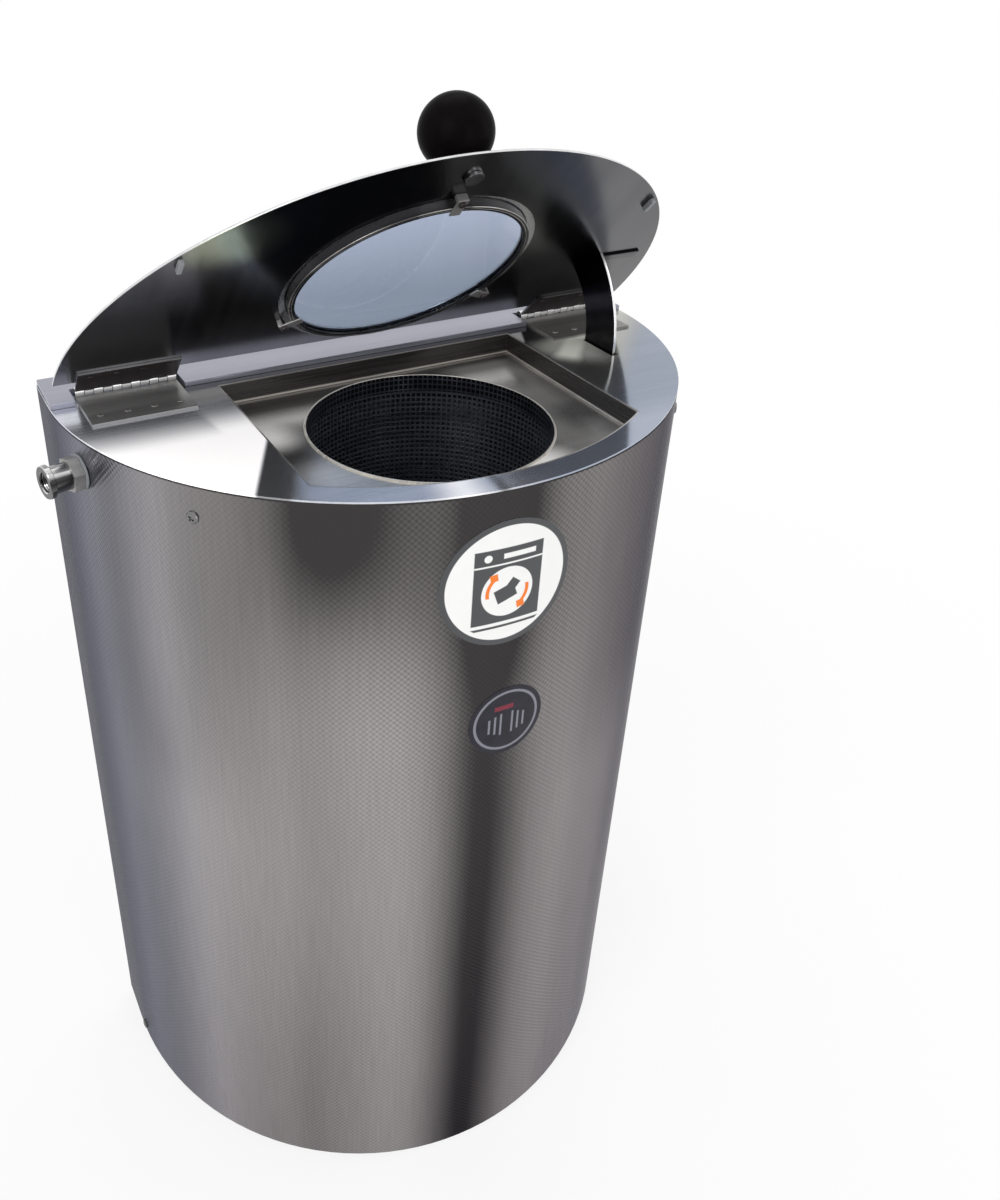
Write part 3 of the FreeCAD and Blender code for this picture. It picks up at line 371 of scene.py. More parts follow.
def make_printed_bar():
    """1 inside a printed bar about a point, turned by an angle."""
    group, given, made = new_group("printed_bar", ["Inside"], **PRINT_PLACE, Half_Width=0.01,
                                   Half_Height=0.01, Turn=0.0)
    across, up = from_middle(group, given)
    cosine = maths(group, "COSINE", given["Turn"])
    sine = maths(group, "SINE", given["Turn"])
    along = plus(group, times(group, across, cosine), times(group, up, sine))
    beside = less(group, times(group, up, cosine), times(group, across, sine))
    wide = less(group, given["Half Width"], maths(group, "ABSOLUTE", along))
    high = less(group, given["Half Height"], maths(group, "ABSOLUTE", beside))
    feed_named(group, made, Inside=crisp(group, all_of(group, wide, high)))
    return group


BRUSHED_LINES = make_brushed_lines()
HANDLING_MARKS = make_handling_marks()
PRINTED_DISC = make_printed_disc()
PRINTED_BAR = make_printed_bar()


def use_group(tree, group, *values):
    made = add_node(tree, "ShaderNodeGroup")
    made.node_tree = group
    for socket, value in zip(made.inputs, values):
        feed(tree, socket, value)
    return made.outputs


def brush_marks(tree, stretch, fineness=3):
    """The lines and the bands of a brushed sheet."""
    return use_group(tree, BRUSHED_LINES, own_place(tree, stretch), fineness)


def brushing(tree, lines, bands):
    """How light the brushing is, from its lines and bands together."""
    both = plus(tree, times(tree, lines, 0.5), times(tree, bands, 0.5))
    return ranged(tree, both, 0.38, 0.62)


def smudges(tree, scale=9.0, stretch=(1, 1, 1)):
    return use_group(tree, HANDLING_MARKS, own_place(tree, stretch), scale)[0]


# Materials.
def new_material(name, **sockets):
    material = bpy.data.materials.new(name)
    material.use_nodes = True
    tree = material.node_tree
    shader = tree.nodes["Principled BSDF"]
    feed_named(tree, shader, **sockets)
    return material, tree, shader


def raise_bump(tree, shader, height, strength, depth=0.0002):
    bump = add_node(tree, "ShaderNodeBump")
    feed_named(tree, bump, Strength=strength, Distance=depth, Height=height)
    feed_named(tree, shader, Normal=bump.outputs[0])


def brushed_metal(name, dark, light, stretch, fineness=3, roughness=0.3, bump=0.05, marks=0.15,
                  metallic=1.0):
    """Brushed sheet: lines along one direction, wider bands, and faint marks."""
    material, tree, shader = new_material(name, Metallic=metallic)
    lines, bands = brush_marks(tree, stretch, fineness)
    smudge = smudges(tree)
    clean = mixed(tree, brushing(tree, lines, bands), dark, light)
    stain = tuple(part * 0.8 for part in dark)
    rough = ranged(tree, lines, *NOISE, roughness - 0.04, roughness + 0.04)
    feed_named(tree, shader, Base_Color=mixed(tree, times(tree, smudge, marks), clean, stain),
               Roughness=times_plus(tree, smudge, 0.07, rough))
    raise_bump(tree, shader, lines, bump)
    return material


def grained_plastic(name, colour, roughness, grain, bump, **sockets):
    """Moulded rubber, plastic or paint with a fine grain and a little dust."""
    material, tree, shader = new_material(name, **sockets)
    smudge = smudges(tree)
    dusty = tuple(min(1, part * 1.3 + 0.008) for part in colour)
    feed_named(tree, shader, Base_Color=mixed(tree, times(tree, smudge, 0.6), colour, dusty),
               Roughness=ranged(tree, smudge, 0, 1, roughness, min(1, roughness + 0.1)))
    raise_bump(tree, shader, cloudy(tree, own_place(tree), grain, 3), bump, 0.0003)
    return material


# Painted reflections: soft upright streaks of light and shade round the skin, with middle and half
# width in degrees, and rise in tone.
SKIN_REFLECTION_BANDS = [(4, 12, -0.78), (-12, 11, 0.28), (-26, 20, 0.62), (-48, 14, 0.4), (22, 14, 0.3),
              (42, 9, 0.2), (56, 16, 0.62), (76, 14, 0.5), (92, 12, -0.06), (118, 14, 0.18),
              (150, 20, -0.3), (-98, 12, 0.2), (-124, 12, -0.24), (-150, 22, 0.2)]
# Painted patches of light and shade that also fade in from one height to another: middle, half
# width, heights and rise.
SKIN_LIGHT_AND_SHADE_PATCHES = [(20, 60, DECK - 0.22, DECK - 0.08, -0.42),
                (58, 30, DECK - 0.36, DECK - 0.18, -0.45),
                (61, 9, DECK - 0.3, DECK - 0.15, 0.3),
                (-28, 28, DECK - 0.36, DECK - 0.18, -0.6),
                (24, 22, DECK - 0.17, DECK - 0.05, -0.25),
                (29, 19, DECK - 0.14, DECK - 0.01, -0.62),
                (36, 26, 0.4, 0.1, -0.2),
                (-46, 24, 0.4, 0.15, 0.5)]


def skin_diamonds(tree, around, height):
    """The emboss, from -1 to 1."""
    pitch = math.tau / EMBOSS_PITCH
    return times(tree, maths(tree, "SINE", times(tree, around, pitch)),
                 maths(tree, "SINE", times(tree, height, pitch)))


def skin_painted_reflections(tree, turn, leaning, height, tone):
    """The tone with the skin's painted reflections in it: streaks and patches of painted light and
    shade.
    """
    for middle, half_width, rise in SKIN_REFLECTION_BANDS:
        tone = plus(tree, tone, times(tree, band(tree, leaning, middle, half_width), rise))
    for middle, half_width, start, full, rise in SKIN_LIGHT_AND_SHADE_PATCHES:
        share = times(tree, band(tree, turn, middle, half_width), eased(tree, height, start, full))
        tone = times_plus(tree, share, rise, tone)
    return tone


def embossed_skin():
    """Satin stainless with a fine diamond emboss, and tall soft streaks of painted reflection,
    light and shade.
    """
    material, tree, shader = new_material("embossed_skin", Metallic=1.0,
                                          Specular_Tint=(0.3, 0.3, 0.33))
    across, along, height = axes(tree, own_place(tree))
    turn = turn_about_z(tree, across, along)
    around = times(tree, turn, BODY_RADIUS * math.pi / 180)
    unrolled = add_node(tree, "ShaderNodeCombineXYZ")
    feed_named(tree, unrolled, X=around, Z=height)
    drawn = mapped(tree, unrolled.outputs[0], (1, 1, 0.04))
    emboss = skin_diamonds(tree, around, height)
    drift = times_plus(tree, cloudy(tree, unrolled.outputs[0], 2.5, 1), 4, turn)
    tone = ranged(tree, cloudy(tree, drawn, 9), *NOISE, 0.86, 1.14)
    tone = skin_painted_reflections(tree, turn, less(tree, drift, 2), height, tone)
    hair = ranged(tree, cloudy(tree, drawn, 420), *NOISE, 0.95, 1.05)
    # The emboss's light and shade is also painted into the tone: most at the front, and less to
    # the sides and towards the foot.
    painted_emboss_light_and_shade = times(tree, ranged(tree, emboss, -1, 1, -0.28, 0.22),
                   eased(tree, turn, 48, 18, 0.25, 1.0), eased(tree, turn, -26, -6, 0.35, 1.0),
                   eased(tree, height, DECK - 0.42, DECK - 0.16, 0.4, 1.0))
    seam = eased(tree, height, DECK - 0.0035, DECK - 0.0022)
    tone = times(tree, tone, hair, plus(tree, painted_emboss_light_and_shade, 1.0), times_plus(tree, seam, -0.8, 1.0))
    # Steel colour, with a bluer painted reflection on the left side.
    tint_with_painted_reflection = mixed(tree, band(tree, turn, 84, 42), (0.263, 0.247, 0.246), (0.230, 0.233, 0.260))
    smudge = smudges(tree, 7.0, (1, 1, 0.35))
    feed_named(tree, shader, Base_Color=scaled(tree, tint_with_painted_reflection, any_of(tree, tone, 0.2)),
               Roughness=ranged(tree, smudge, 0, 1, 0.26, 0.34))
    raise_bump(tree, shader, emboss, 0.35, 0.0003)
    return material


def front_sheen(tree, turn, across, along, slant, forward):
    """Painted highlight: the broad sheen over the deck's front left, and a narrow one beside the
    front.
    """
    behind = times(tree, eased(tree, along, -0.045, -0.11), eased(tree, across, -0.186, -0.168))
    broad = times(tree, any_of(tree, forward, behind), eased(tree, slant, -0.0735, -0.0785))
    return any_of(tree, broad, times(tree, band(tree, turn, 10.5, 7), 0.7, forward))


def sector_streak(tree, aslant, onward):
    """A painted highlight: a bright streak that runs back beside the sector plate, in a wider
    painted glow.
    """
    core = times(tree, eased(tree, aslant, 0.036, 0.006), eased(tree, onward, 0.035, 0.075),
                 eased(tree, onward, 0.21, 0.085, 0.4, 0.74))
    glow = times(tree, eased(tree, aslant, 0.08, 0.02, 0, 0.5),
                 eased(tree, onward, 0.035, 0.09))
    return any_of(tree, core, glow)


def deck_sheet():
    """Finely brushed deck sheet with painted reflections: a painted sheen at the front left that
    also glows, a colder painted reflection on the right side, and painted dark reflections at the
    rear and beside the sheen.
    """
    material, tree, shader = new_material("deck_sheet")
    across, along, _ = axes(tree, own_place(tree))
    turn = turn_about_z(tree, across, along)
    lines, bands = brush_marks(tree, (3, 160, 3))
    # Distances along the deck's diagonals, which its painted reflections follow.
    slant = times_plus(tree, along, -0.5, across)
    aslant = maths(tree, "ABSOLUTE", less(tree, across, along, 0.254))
    onward = plus(tree, across, along)
    forward = eased(tree, along, -0.055, -0.118)
    on_right = eased(tree, across, 0.135, 0.15)
    sheen = any_of(tree, front_sheen(tree, turn, across, along, slant, forward),
                   times(tree, sector_streak(tree, aslant, onward), on_right))
    # Painted dark reflection in a band along the edge of the sheen.
    edge_of_sheen = times(tree, eased(tree, slant, -0.044, -0.052),
                          eased(tree, slant, -0.0765, -0.0735),
                          eased(tree, turn, 10, 20, 0, 0.85))
    # Painted dark reflection over the deck's rear, below the open lid.
    rear = times(tree, eased(tree, along, -0.062, -0.042, 0, 0.95),
                 eased(tree, along, 0.022, 0.014),
                 eased(tree, maths(tree, "ABSOLUTE", across), 0.186, 0.174))
    painted_dark_reflection = any_of(tree, times(tree, any_of(tree, edge_of_sheen, band(tree, turn, 4.6, 1.6)),
                              forward), rear)
    # The right side and the back take a colder painted reflection, and the left a warmer, lighter
    # one.
    cold_reflection_side = any_of(tree, eased(tree, across, -0.02, 0.03), eased(tree, along, 0.0, 0.02))
    reflection_by_sector = times(tree, eased(tree, aslant, 0.09, 0.05, 0, 0.85), on_right)
    light = brushing(tree, lines, bands)
    # Painted reflection colours: warm on the left, cold on the right and lighter towards the
    # front, warmer beside the sector; bright is the painted sheen's colour, dark that of the
    # painted dark reflections.
    warm = mixed(tree, light, (0.58, 0.6, 0.66), (0.7, 0.72, 0.78))
    cold = mixed(tree, light, (0.25, 0.29, 0.37), (0.29, 0.33, 0.41))
    cold = mixed(tree, eased(tree, along, -0.19, -0.235, 0, 0.55), cold, (0.46, 0.5, 0.6))
    cold = mixed(tree, reflection_by_sector, cold, (0.33, 0.33, 0.3))
    bright = mixed(tree, reflection_by_sector, (0.97, 0.955, 0.95), (0.9, 0.9, 0.8))
    dark = mixed(tree, rear, (0.3, 0.3, 0.31), (0.07, 0.065, 0.065))
    sheet = mixed(tree, sheen, mixed(tree, cold_reflection_side, warm, cold), bright)
    colour = mixed(tree, painted_dark_reflection, sheet, dark)
    rough = times_plus(tree, cold_reflection_side, -0.09, ranged(tree, lines, *NOISE, 0.15, 0.2))
    # The painted sheen is less metallic and glows through the emission, as painted light.
    feed_named(tree, shader, Base_Color=colour, Metallic=times_plus(tree, sheen, -0.78, 0.84),
               Emission_Color=colour, Emission_Strength=times(tree, sheen, sheen, 0.45),
               Roughness=times_plus(tree, smudges(tree), 0.04, rough))
    raise_bump(tree, shader, lines, 0.05)
    return material


def polished_steel():
    """Bright turned metal with painted reflections: light and dark bands, set by which way the
    surface faces, that run along it.
    """
    material, tree, shader = new_material("polished_steel", Metallic=1.0)
    normal = add_node(tree, "ShaderNodeTexCoord").outputs["Normal"]
    # Painted reflection: the tone follows how far the surface faces up.
    upward = times_plus(tree, axes(tree, normal)[2], 0.5, 0.5)
    tone = ramp(tree, upward, (0.0, 0.16), (0.3, 0.26), (0.48, 0.1), (0.6, 0.035),
                (0.74, 0.08), (0.82, 0.6), (0.88, 0.8), (0.94, 0.22), (1.0, 0.32))
    smudge = smudges(tree, 30.0)
    feed_named(tree, shader, Base_Color=scaled(tree, tone, ranged(tree, smudge, 0, 1, 1.0, 0.8)),
               Roughness=ranged(tree, smudge, 0, 1, 0.1, 0.2))
    return material


def pale_pane():
    """Pale blue clear plastic, a little paler towards its top."""
    material, tree, shader = new_material("pale_pane", IOR=1.46, Transmission_Weight=1.0)
    smudge = smudges(tree)
    height = axes(tree, own_place(tree))[2]
    upward = eased(tree, height, DECK + 0.07, DECK + 0.17)
    clear = mixed(tree, upward, (0.31, 0.37, 0.475), (0.48, 0.545, 0.7))
    feed_named(tree, shader, Roughness=ranged(tree, smudge, 0, 1, 0.04, 0.1),
               Base_Color=mixed(tree, times(tree, smudge, 0.1), clear, (0.4, 0.44, 0.53)))
    return material


def floor_paper():
    """Pale paper that turns white away from the object, and keeps its shadow."""
    material, tree, shader = new_material("floor_paper", Roughness=0.9, Specular_IOR_Level=0.1)
    marks = cloudy(tree, own_place(tree), 3)
    feed_named(tree, shader, Base_Color=mixed(tree, marks, (0.91, 0.91, 0.91),
                                              (0.94, 0.94, 0.94)))
    outward = eased(tree, distance(tree, own_place(tree)), 0.4, 1.6, 0.8, 1.0)
    white = add_node(tree, "ShaderNodeEmission")
    mix_shaders(tree, times(tree, where_white_shows(tree), outward), shader.outputs[0],
                white.outputs[0], tree.nodes["Material Output"])
    return material


# Soft round patches of painted light and shade on the tray's floor: x, y, reach and rise, in its
# painted glow and in its tone.
TRAY_GLOWS = [(0.12, -0.16, 0.034, -0.14), (0.105, -0.078, 0.03, -0.14),
              (0.11, -0.183, 0.02, -0.05), (0.05, -0.226, 0.036, 1.0),
              (-0.128, -0.1, 0.034, 0.75), (-0.118, -0.17, 0.034, 0.12)]
TRAY_LIGHT_AND_SHADE_SPOTS = [(-0.122, -0.137, 0.034, -0.34), (-0.11, -0.19, 0.05, 0.5)]


def tray_floor():
    """Satin floor sheet, with painted shade at the back and on the right as the lid overhead makes
    it, and painted light that glows in soft patches.
    """
    material, tree, shader = new_material("brushed_tray", Metallic=0.84)
    across, along, _ = axes(tree, own_place(tree))
    lines, bands = brush_marks(tree, (3, 120, 3))
    # Painted shade towards the back, and painted spots of light and shade.
    tone = plus(tree, ranged(tree, bands, *NOISE, 0.9, 1.1),
                eased(tree, along, -0.08, -0.035, 0, -0.6),
                *(near_spot(tree, *spot) for spot in TRAY_LIGHT_AND_SHADE_SPOTS))
    # Painted glow on the right and in soft spots, through the emission; some spots take it away
    # again.
    right_glow = times(tree, eased(tree, across, 0.05, 0.085, 0, 0.13),
                       eased(tree, along, -0.028, -0.04),
                       eased(tree, across, 0.142, 0.118, 0.3, 1))
    glow = plus(tree, right_glow, *(near_spot(tree, *spot) for spot in TRAY_GLOWS))
    sheet = mixed(tree, ranged(tree, lines, *NOISE), (0.46, 0.445, 0.43), (0.54, 0.525, 0.51))
    feed_named(tree, shader, Base_Color=scaled(tree, sheet, any_of(tree, tone, 0.14)),
               Emission_Color=mixed(tree, bands, (0.5, 0.49, 0.48), (0.6, 0.59, 0.58)),
               Emission_Strength=any_of(tree, glow, 0),
               Roughness=ranged(tree, lines, *NOISE, 0.2, 0.26))
    raise_bump(tree, shader, lines, 0.03)
    return material


def tray_wall():
    """Upright sheet painted dark as shade, with a painted highlight along its foot and its top
    edge.
    """
    material, tree, shader = new_material("tray_wall_painted_shade", Metallic=0.4)
    height = axes(tree, own_place(tree))[2]
    lines = brush_marks(tree, (3, 3, 90))[0]
    # Painted highlights along the foot and along the top edge.
    foot = band(tree, height, DECK - 0.0178, 0.0016)
    edge = times(tree, band(tree, height, DECK, 0.0014), 0.5)
    sheet = mixed(tree, ranged(tree, lines, *NOISE), (0.028, 0.026, 0.025),
                  (0.05, 0.046, 0.044))
    feed_named(tree, shader, Roughness=ranged(tree, lines, *NOISE, 0.22, 0.32),
               Base_Color=mixed(tree, any_of(tree, foot, edge), sheet, (0.62, 0.58, 0.53)))
    return material


def neck_of_mouth():
    """The mouth's neck: painted near black, as the shade at the top of the mouth, and crossed by
    the pale lines of the basket below it.
    """
    material, tree, shader = new_material("mouth_neck_painted_shade", Metallic=0.8)
    across, along, height = axes(tree, own_place(tree, shift=(0, -DRUM, 0)))
    turn = maths(tree, "ARCTAN2", across, along)
    upright = maths(tree, "FRACT", times(tree, turn, CELLS_ROUND / math.tau))
    level = maths(tree, "FRACT", times(tree, height, 1 / NECK_LINE_PITCH))
    lines = any_of(tree, eased(tree, upright, 0.32, 0.24), eased(tree, level, 0.32, 0.24))
    wear = cloudy(tree, own_place(tree), 60)
    feed_named(tree, shader, Roughness=ranged(tree, wear, 0, 1, 0.3, 0.4),
               Base_Color=mixed(tree, times(tree, lines, wear), (0.004, 0.004, 0.006),
                                (0.2, 0.21, 0.26)))
    return material


def window_ring():
    """Black rubber lip inside a polished trim with painted highlight rings, told apart by distance
    from the axis.
    """
    material, tree, shader = new_material("window_ring", Specular_IOR_Level=0.2)
    away = add_node(tree, "ShaderNodeVectorMath", operation="CROSS_PRODUCT")
    feed(tree, away.inputs[0], own_place(tree, shift=tuple(-WINDOW_MIDDLE)))
    away.inputs[1].default_value = tuple(LID_OUTWARD)
    radius = distance(tree, away.outputs[0])
    trim = eased(tree, radius, 0.0978, 0.0984)
    streaks = cloudy(tree, own_place(tree, (14, 14, 14)), 2, 3)
    # Painted highlights: thin bright rings on the trim, broken by streaks.
    rings = maths(tree, "FRACT", times(tree, radius, 1 / 0.0021))
    lines = times(tree, eased(tree, rings, 0.55, 0.85), eased(tree, streaks, 0.42, 0.6, 0.25, 1))
    bright = mixed(tree, lines, (0.035, 0.034, 0.037), (0.55, 0.53, 0.51))
    feed_named(tree, shader, Base_Color=mixed(tree, trim, (0.006, 0.006, 0.008), bright),
               Metallic=times(tree, trim, 0.5),
               Roughness=ranged(tree, streaks, *NOISE, 0.2, 0.35))
    return material


def lid_underside():
    """Polished sheet painted dark, as a dark reflection, lighter on its left and with one warm
    spot of the room in it, both painted reflections.
    """
    material, tree, shader = new_material("polished_lid_underside", Metallic=1.0)
    lines, bands = brush_marks(tree, (60, 2, 2))
    # Painted reflection of the room: a soft warm oval on the lid's left.
    oval = Vector((1, 1.3, 1))
    patch_middle = (LID @ Vector((-0.163, -0.212, 0))) * oval
    patch = eased(tree, distance(tree, own_place(tree, tuple(oval)), tuple(patch_middle)),
                  0.05, 0.012)
    # Painted reflection: lighter towards the left.
    left = eased(tree, axes(tree, own_place(tree))[0], -0.13, -0.21)
    # The sheet's near-black colour is a painted dark reflection.
    sheet = mixed(tree, ranged(tree, bands, 0.35, 0.65), (0.062, 0.062, 0.067),
                  (0.086, 0.086, 0.093))
    sheet = mixed(tree, left, sheet, (0.16, 0.158, 0.17))
    rough = ranged(tree, lines, *NOISE, 0.15, 0.2)
    feed_named(tree, shader, Base_Color=mixed(tree, patch, sheet, (0.5, 0.54, 0.4)),
               Roughness=times_plus(tree, smudges(tree), 0.05, rough))
    return material


def print_tools(tree, middle):
    """Functions that print a disc or a bar about a point, from a label's middle."""
    across, _, up = axes(tree, own_place(tree, shift=(-middle[0], 0, -middle[1])))

    def disc(x, z, radius):
        return use_group(tree, PRINTED_DISC, across, up, x, z, radius)[0]

    def bar(x, z, half_width, half_height, turn=0.0):
        return use_group(tree, PRINTED_BAR, across, up, x, z, half_width, half_height, turn)[0]

    return disc, bar


def use_label_print():
    """A white round label: a dark machine with a round drum, and orange turning marks."""
    material, tree, shader = new_material("use_label_print")
    disc, bar = print_tools(tree, USE_LABEL)
    ring = no_part_of(tree, disc(0.0, 0.0, 0.0497))
    machine = bar(0.0, -0.001, 0.0285, 0.0325)
    window = disc(0.0, -0.007, 0.0215)
    panel = any_of(tree, bar(0.0085, 0.0245, 0.0135, 0.0022), disc(-0.0175, 0.0245, 0.0032),
                   bar(0.0, 0.0178, 0.0285, 0.0007))
    cloth = any_of(tree, bar(-0.0015, -0.0085, 0.0085, 0.0062, 0.35),
                   bar(0.0045, -0.0015, 0.0045, 0.0042, 0.9))
    floor_line = all_of(tree, bar(0.0, -0.0375, 0.05, 0.0011), disc(0.0, 0.0, 0.0465))
    turning = all_of(tree, disc(0.0, -0.007, 0.0182),
                     no_part_of(tree, disc(0.0, -0.007, 0.0152)),
                     any_of(tree, bar(-0.017, -0.002, 0.0075, 0.0085),
                            bar(0.017, -0.012, 0.0075, 0.0085)))
    tips = any_of(tree, bar(-0.0118, 0.0066, 0.0032, 0.0032, 0.2),
                  bar(0.0118, -0.0206, 0.0032, 0.0032, 0.2))
    body = all_of(tree, machine, no_part_of(tree, window), no_part_of(tree, panel))
    dark = any_of(tree, ring, floor_line, cloth, body)
    paper = cloudy(tree, own_place(tree), 60, 3)
    white = mixed(tree, paper, (0.86, 0.86, 0.85), (0.91, 0.91, 0.9))
    printed = mixed(tree, dark, white, (0.055, 0.057, 0.062))
    feed_named(tree, shader, Roughness=ranged(tree, paper, 0, 1, 0.3, 0.42),
               Base_Color=mixed(tree, any_of(tree, turning, tips), printed, (0.9, 0.2, 0.01)))
    return material


def badge_print():
    """A small dark round plate: pale ring, pale upright bars and one muted red bar."""
    material, tree, shader = new_material("badge_print", Specular_IOR_Level=0.2)
    disc, bar = print_tools(tree, ROUND_BADGE)
    ring = all_of(tree, disc(0.0, 0.0, 0.0295), no_part_of(tree, disc(0.0, 0.0, 0.0272)))
    bars = (bar(0.0052 * step, -0.003, 0.0009, 0.0125 - 0.0018 * abs(step))
            for step in (-3, -2, -1, 1, 2, 3))
    red = bar(-0.003, 0.0135, 0.0085, 0.0022)
    wear = cloudy(tree, own_place(tree), 90, 4)
    dark = mixed(tree, wear, (0.006, 0.006, 0.011), (0.03, 0.028, 0.04))
    printed = mixed(tree, any_of(tree, ring, *bars), dark, (0.22, 0.22, 0.26))
    feed_named(tree, shader, Base_Color=mixed(tree, red, printed, (0.2, 0.025, 0.045)),
               Roughness=ranged(tree, wear, 0, 1, 0.25, 0.4))
    return material


SKIN = embossed_skin()
DECK_STEEL = deck_sheet()
TRAY_STEEL = tray_floor()
TRAY_WALL = tray_wall()
NECK = neck_of_mouth()
WINDOW_RING = window_ring()
LID_UNDER = lid_underside()
POLISHED = polished_steel()
PANE = pale_pane()
# Painted highlight: the bead round the mouth, lighter than its steel.
BEAD_HIGHLIGHT = brushed_metal("bead_painted_highlight", (0.6, 0.57, 0.52), (0.8, 0.77, 0.71), (20, 20, 20),
                     roughness=0.25, bump=0.02, marks=0.1, metallic=0.3)
STRIP_STEEL = brushed_metal("brushed_strip", (0.285, 0.29, 0.345), (0.33, 0.335, 0.39),
                            (2, 90, 90), metallic=0.8)
LID_TOP = brushed_metal("brushed_lid_top", (0.34, 0.34, 0.35), (0.46, 0.46, 0.47), (60, 2, 2),
                        roughness=0.26, bump=0.08)
# Painted highlight on cut edges, on the lid's pressed ring and on the sector's rolled edge.
EDGE_HIGHLIGHT = brushed_metal("cut_edge_painted_highlight", (0.66, 0.66, 0.67), (0.85, 0.85, 0.86),
                         (20, 20, 20), roughness=0.24)
LEAF_STEEL = brushed_metal("hinge_leaf_steel", (0.24, 0.235, 0.23), (0.36, 0.355, 0.35),
                           (2, 60, 60), bump=0.04, metallic=0.55)
# A copy of the leaf steel, a shade darker and more metallic, for the right deck leaf: painted
# shade.
LEAF_PAINTED_SHADE = brushed_metal("leaf_steel_painted_shade", (0.24, 0.232, 0.225), (0.36, 0.35, 0.34),
                            (2, 60, 60), bump=0.04, metallic=0.6)
# Painted dark reflection: leaf steel near black like the lid's underside, for the lid's leaves,
# rivets and clip screws.
LEAF_PAINTED_DARK = brushed_metal("leaf_steel_painted_dark", (0.045, 0.036, 0.038), (0.08, 0.066, 0.07),
                          (2, 60, 60), bump=0.04, metallic=0.7)
# Painted highlight on the hinge barrels.
KNUCKLE_HIGHLIGHT = brushed_metal("knuckle_painted_highlight", (0.7, 0.7, 0.7), (0.9, 0.9, 0.9), (20, 20, 20),
                        roughness=0.2, bump=0.02, marks=0.1, metallic=0.35)
# Painted dark reflection: the sector plate's cheeks, near black.
SECTOR_PAINTED_DARK = brushed_metal("sector_steel", (0.02, 0.019, 0.023), (0.04, 0.038, 0.044),
                             (3, 30, 30), roughness=0.16, bump=0.04)
PLAIN_STEEL = brushed_metal("plain_steel", (0.38, 0.38, 0.38), (0.58, 0.58, 0.58),
                            (4, 4, 60), fineness=4, roughness=0.28, bump=0.1)
DARK_SCREW = brushed_metal("dark_screw_steel", (0.14, 0.14, 0.14), (0.22, 0.22, 0.22),
                           (4, 4, 60), fineness=4, roughness=0.2)
MESH_STEEL = brushed_metal("basket_steel", (0.16, 0.17, 0.21), (0.24, 0.25, 0.3),
                           (4, 4, 40), roughness=0.28, bump=0.02, marks=0.03, metallic=0.8)
ZINC = brushed_metal("zinc_sheet", (0.4, 0.405, 0.41), (0.46, 0.465, 0.47), (60, 60, 60),
                     fineness=2, roughness=0.36, marks=0.05)
CAST = brushed_metal("cast_aluminium", (0.4, 0.4, 0.41), (0.52, 0.52, 0.53), (30, 30, 30),
                     roughness=0.5, bump=0.3)
IRON = brushed_metal("bare_iron", (0.16, 0.16, 0.17), (0.24, 0.24, 0.25), (30, 30, 60),
                     roughness=0.5, bump=0.3)
RUBBER = grained_plastic("black_rubber", (0.012, 0.012, 0.014), roughness=0.5, grain=900,
                         bump=0.2, Specular_IOR_Level=0.3)
HOSE_RUBBER = grained_plastic("hose_rubber", (0.04, 0.04, 0.042), roughness=0.55, grain=500,
                              bump=0.2)
NYLON = grained_plastic("black_nylon", (0.03, 0.03, 0.032), roughness=0.45, grain=700, bump=0.12)
GLOSS_BLACK = grained_plastic("gloss_black", (0.002, 0.0012, 0.0014), roughness=0.28, grain=300,
                              bump=0.02, Specular_IOR_Level=0.012)
GREY_PAINT = grained_plastic("grey_paint", (0.21, 0.22, 0.23), roughness=0.45, grain=600,
                             bump=0.15)
BOX_PLASTIC = grained_plastic("box_plastic", (0.42, 0.43, 0.44), roughness=0.5, grain=800,
                              bump=0.15)


# Modelling helpers.
def take(piece):
    bpy.ops.object.select_all(action="DESELECT")
    piece.select_set(True)
    bpy.context.view_layer.objects.active = piece


def leave_unturned(piece):
    """Puts the object at the origin, unturned and unscaled, with its place in its mesh."""
    take(piece)
    bpy.ops.object.transform_apply(location=True, rotation=True, scale=True)
    return piece


def named(name):
    """The primitive just added, under its name."""
    piece = bpy.context.object
    piece.name = piece.data.name = name
    return leave_unturned(piece)


def settle(piece, matrix):
    """Moves a piece drawn at the origin to its place."""
    piece.matrix_world = matrix
    return leave_unturned(piece)


def edit(piece, kind="VERT"):
    take(piece)
    bpy.ops.object.mode_set(mode="EDIT")
    bpy.ops.mesh.select_mode(type=kind)
    bpy.ops.mesh.select_all(action="SELECT")


def leave():
    bpy.ops.object.mode_set(mode="OBJECT")


def pick_edges(piece, test):
    """Selects the edges whose two ends pass a test."""
    bpy.ops.mesh.select_mode(type="EDGE")
    bpy.ops.mesh.select_all(action="DESELECT")
    leave()
    for edge in piece.data.edges:
        first, second = (piece.data.vertices[one].co for one in edge.vertices)
        edge.select = test(first, second)
    bpy.ops.object.mode_set(mode="EDIT")


def close_foot(piece):
    """Fills the open ring at height zero, and turns all faces outwards."""
    edit(piece, "EDGE")
    pick_edges(piece, lambda first, second: max(first.z, second.z) < 1e-6)
    bpy.ops.mesh.edge_face_add()
    bpy.ops.mesh.select_all(action="SELECT")
    bpy.ops.mesh.normals_make_consistent(inside=False)
    leave()


def press(piece, kind, **values):
    """Adds a modifier and applies it."""
    take(piece)
    modifier = piece.modifiers.new(kind.lower(), kind)
    for name, value in values.items():
        setattr(modifier, name, value)
    bpy.ops.object.modifier_apply(modifier=modifier.name)


def round_edges(piece, width):
    press(piece, "BEVEL", width=width, segments=2, limit_method="ANGLE",
          angle_limit=math.radians(32))


def smooth(piece, angle=32):
    """Smooth shading up to an angle, with the wide faces kept flat."""
    take(piece)
    bpy.ops.object.shade_smooth_by_angle(angle=math.radians(angle))
    press(piece, "WEIGHTED_NORMAL", keep_sharp=True)


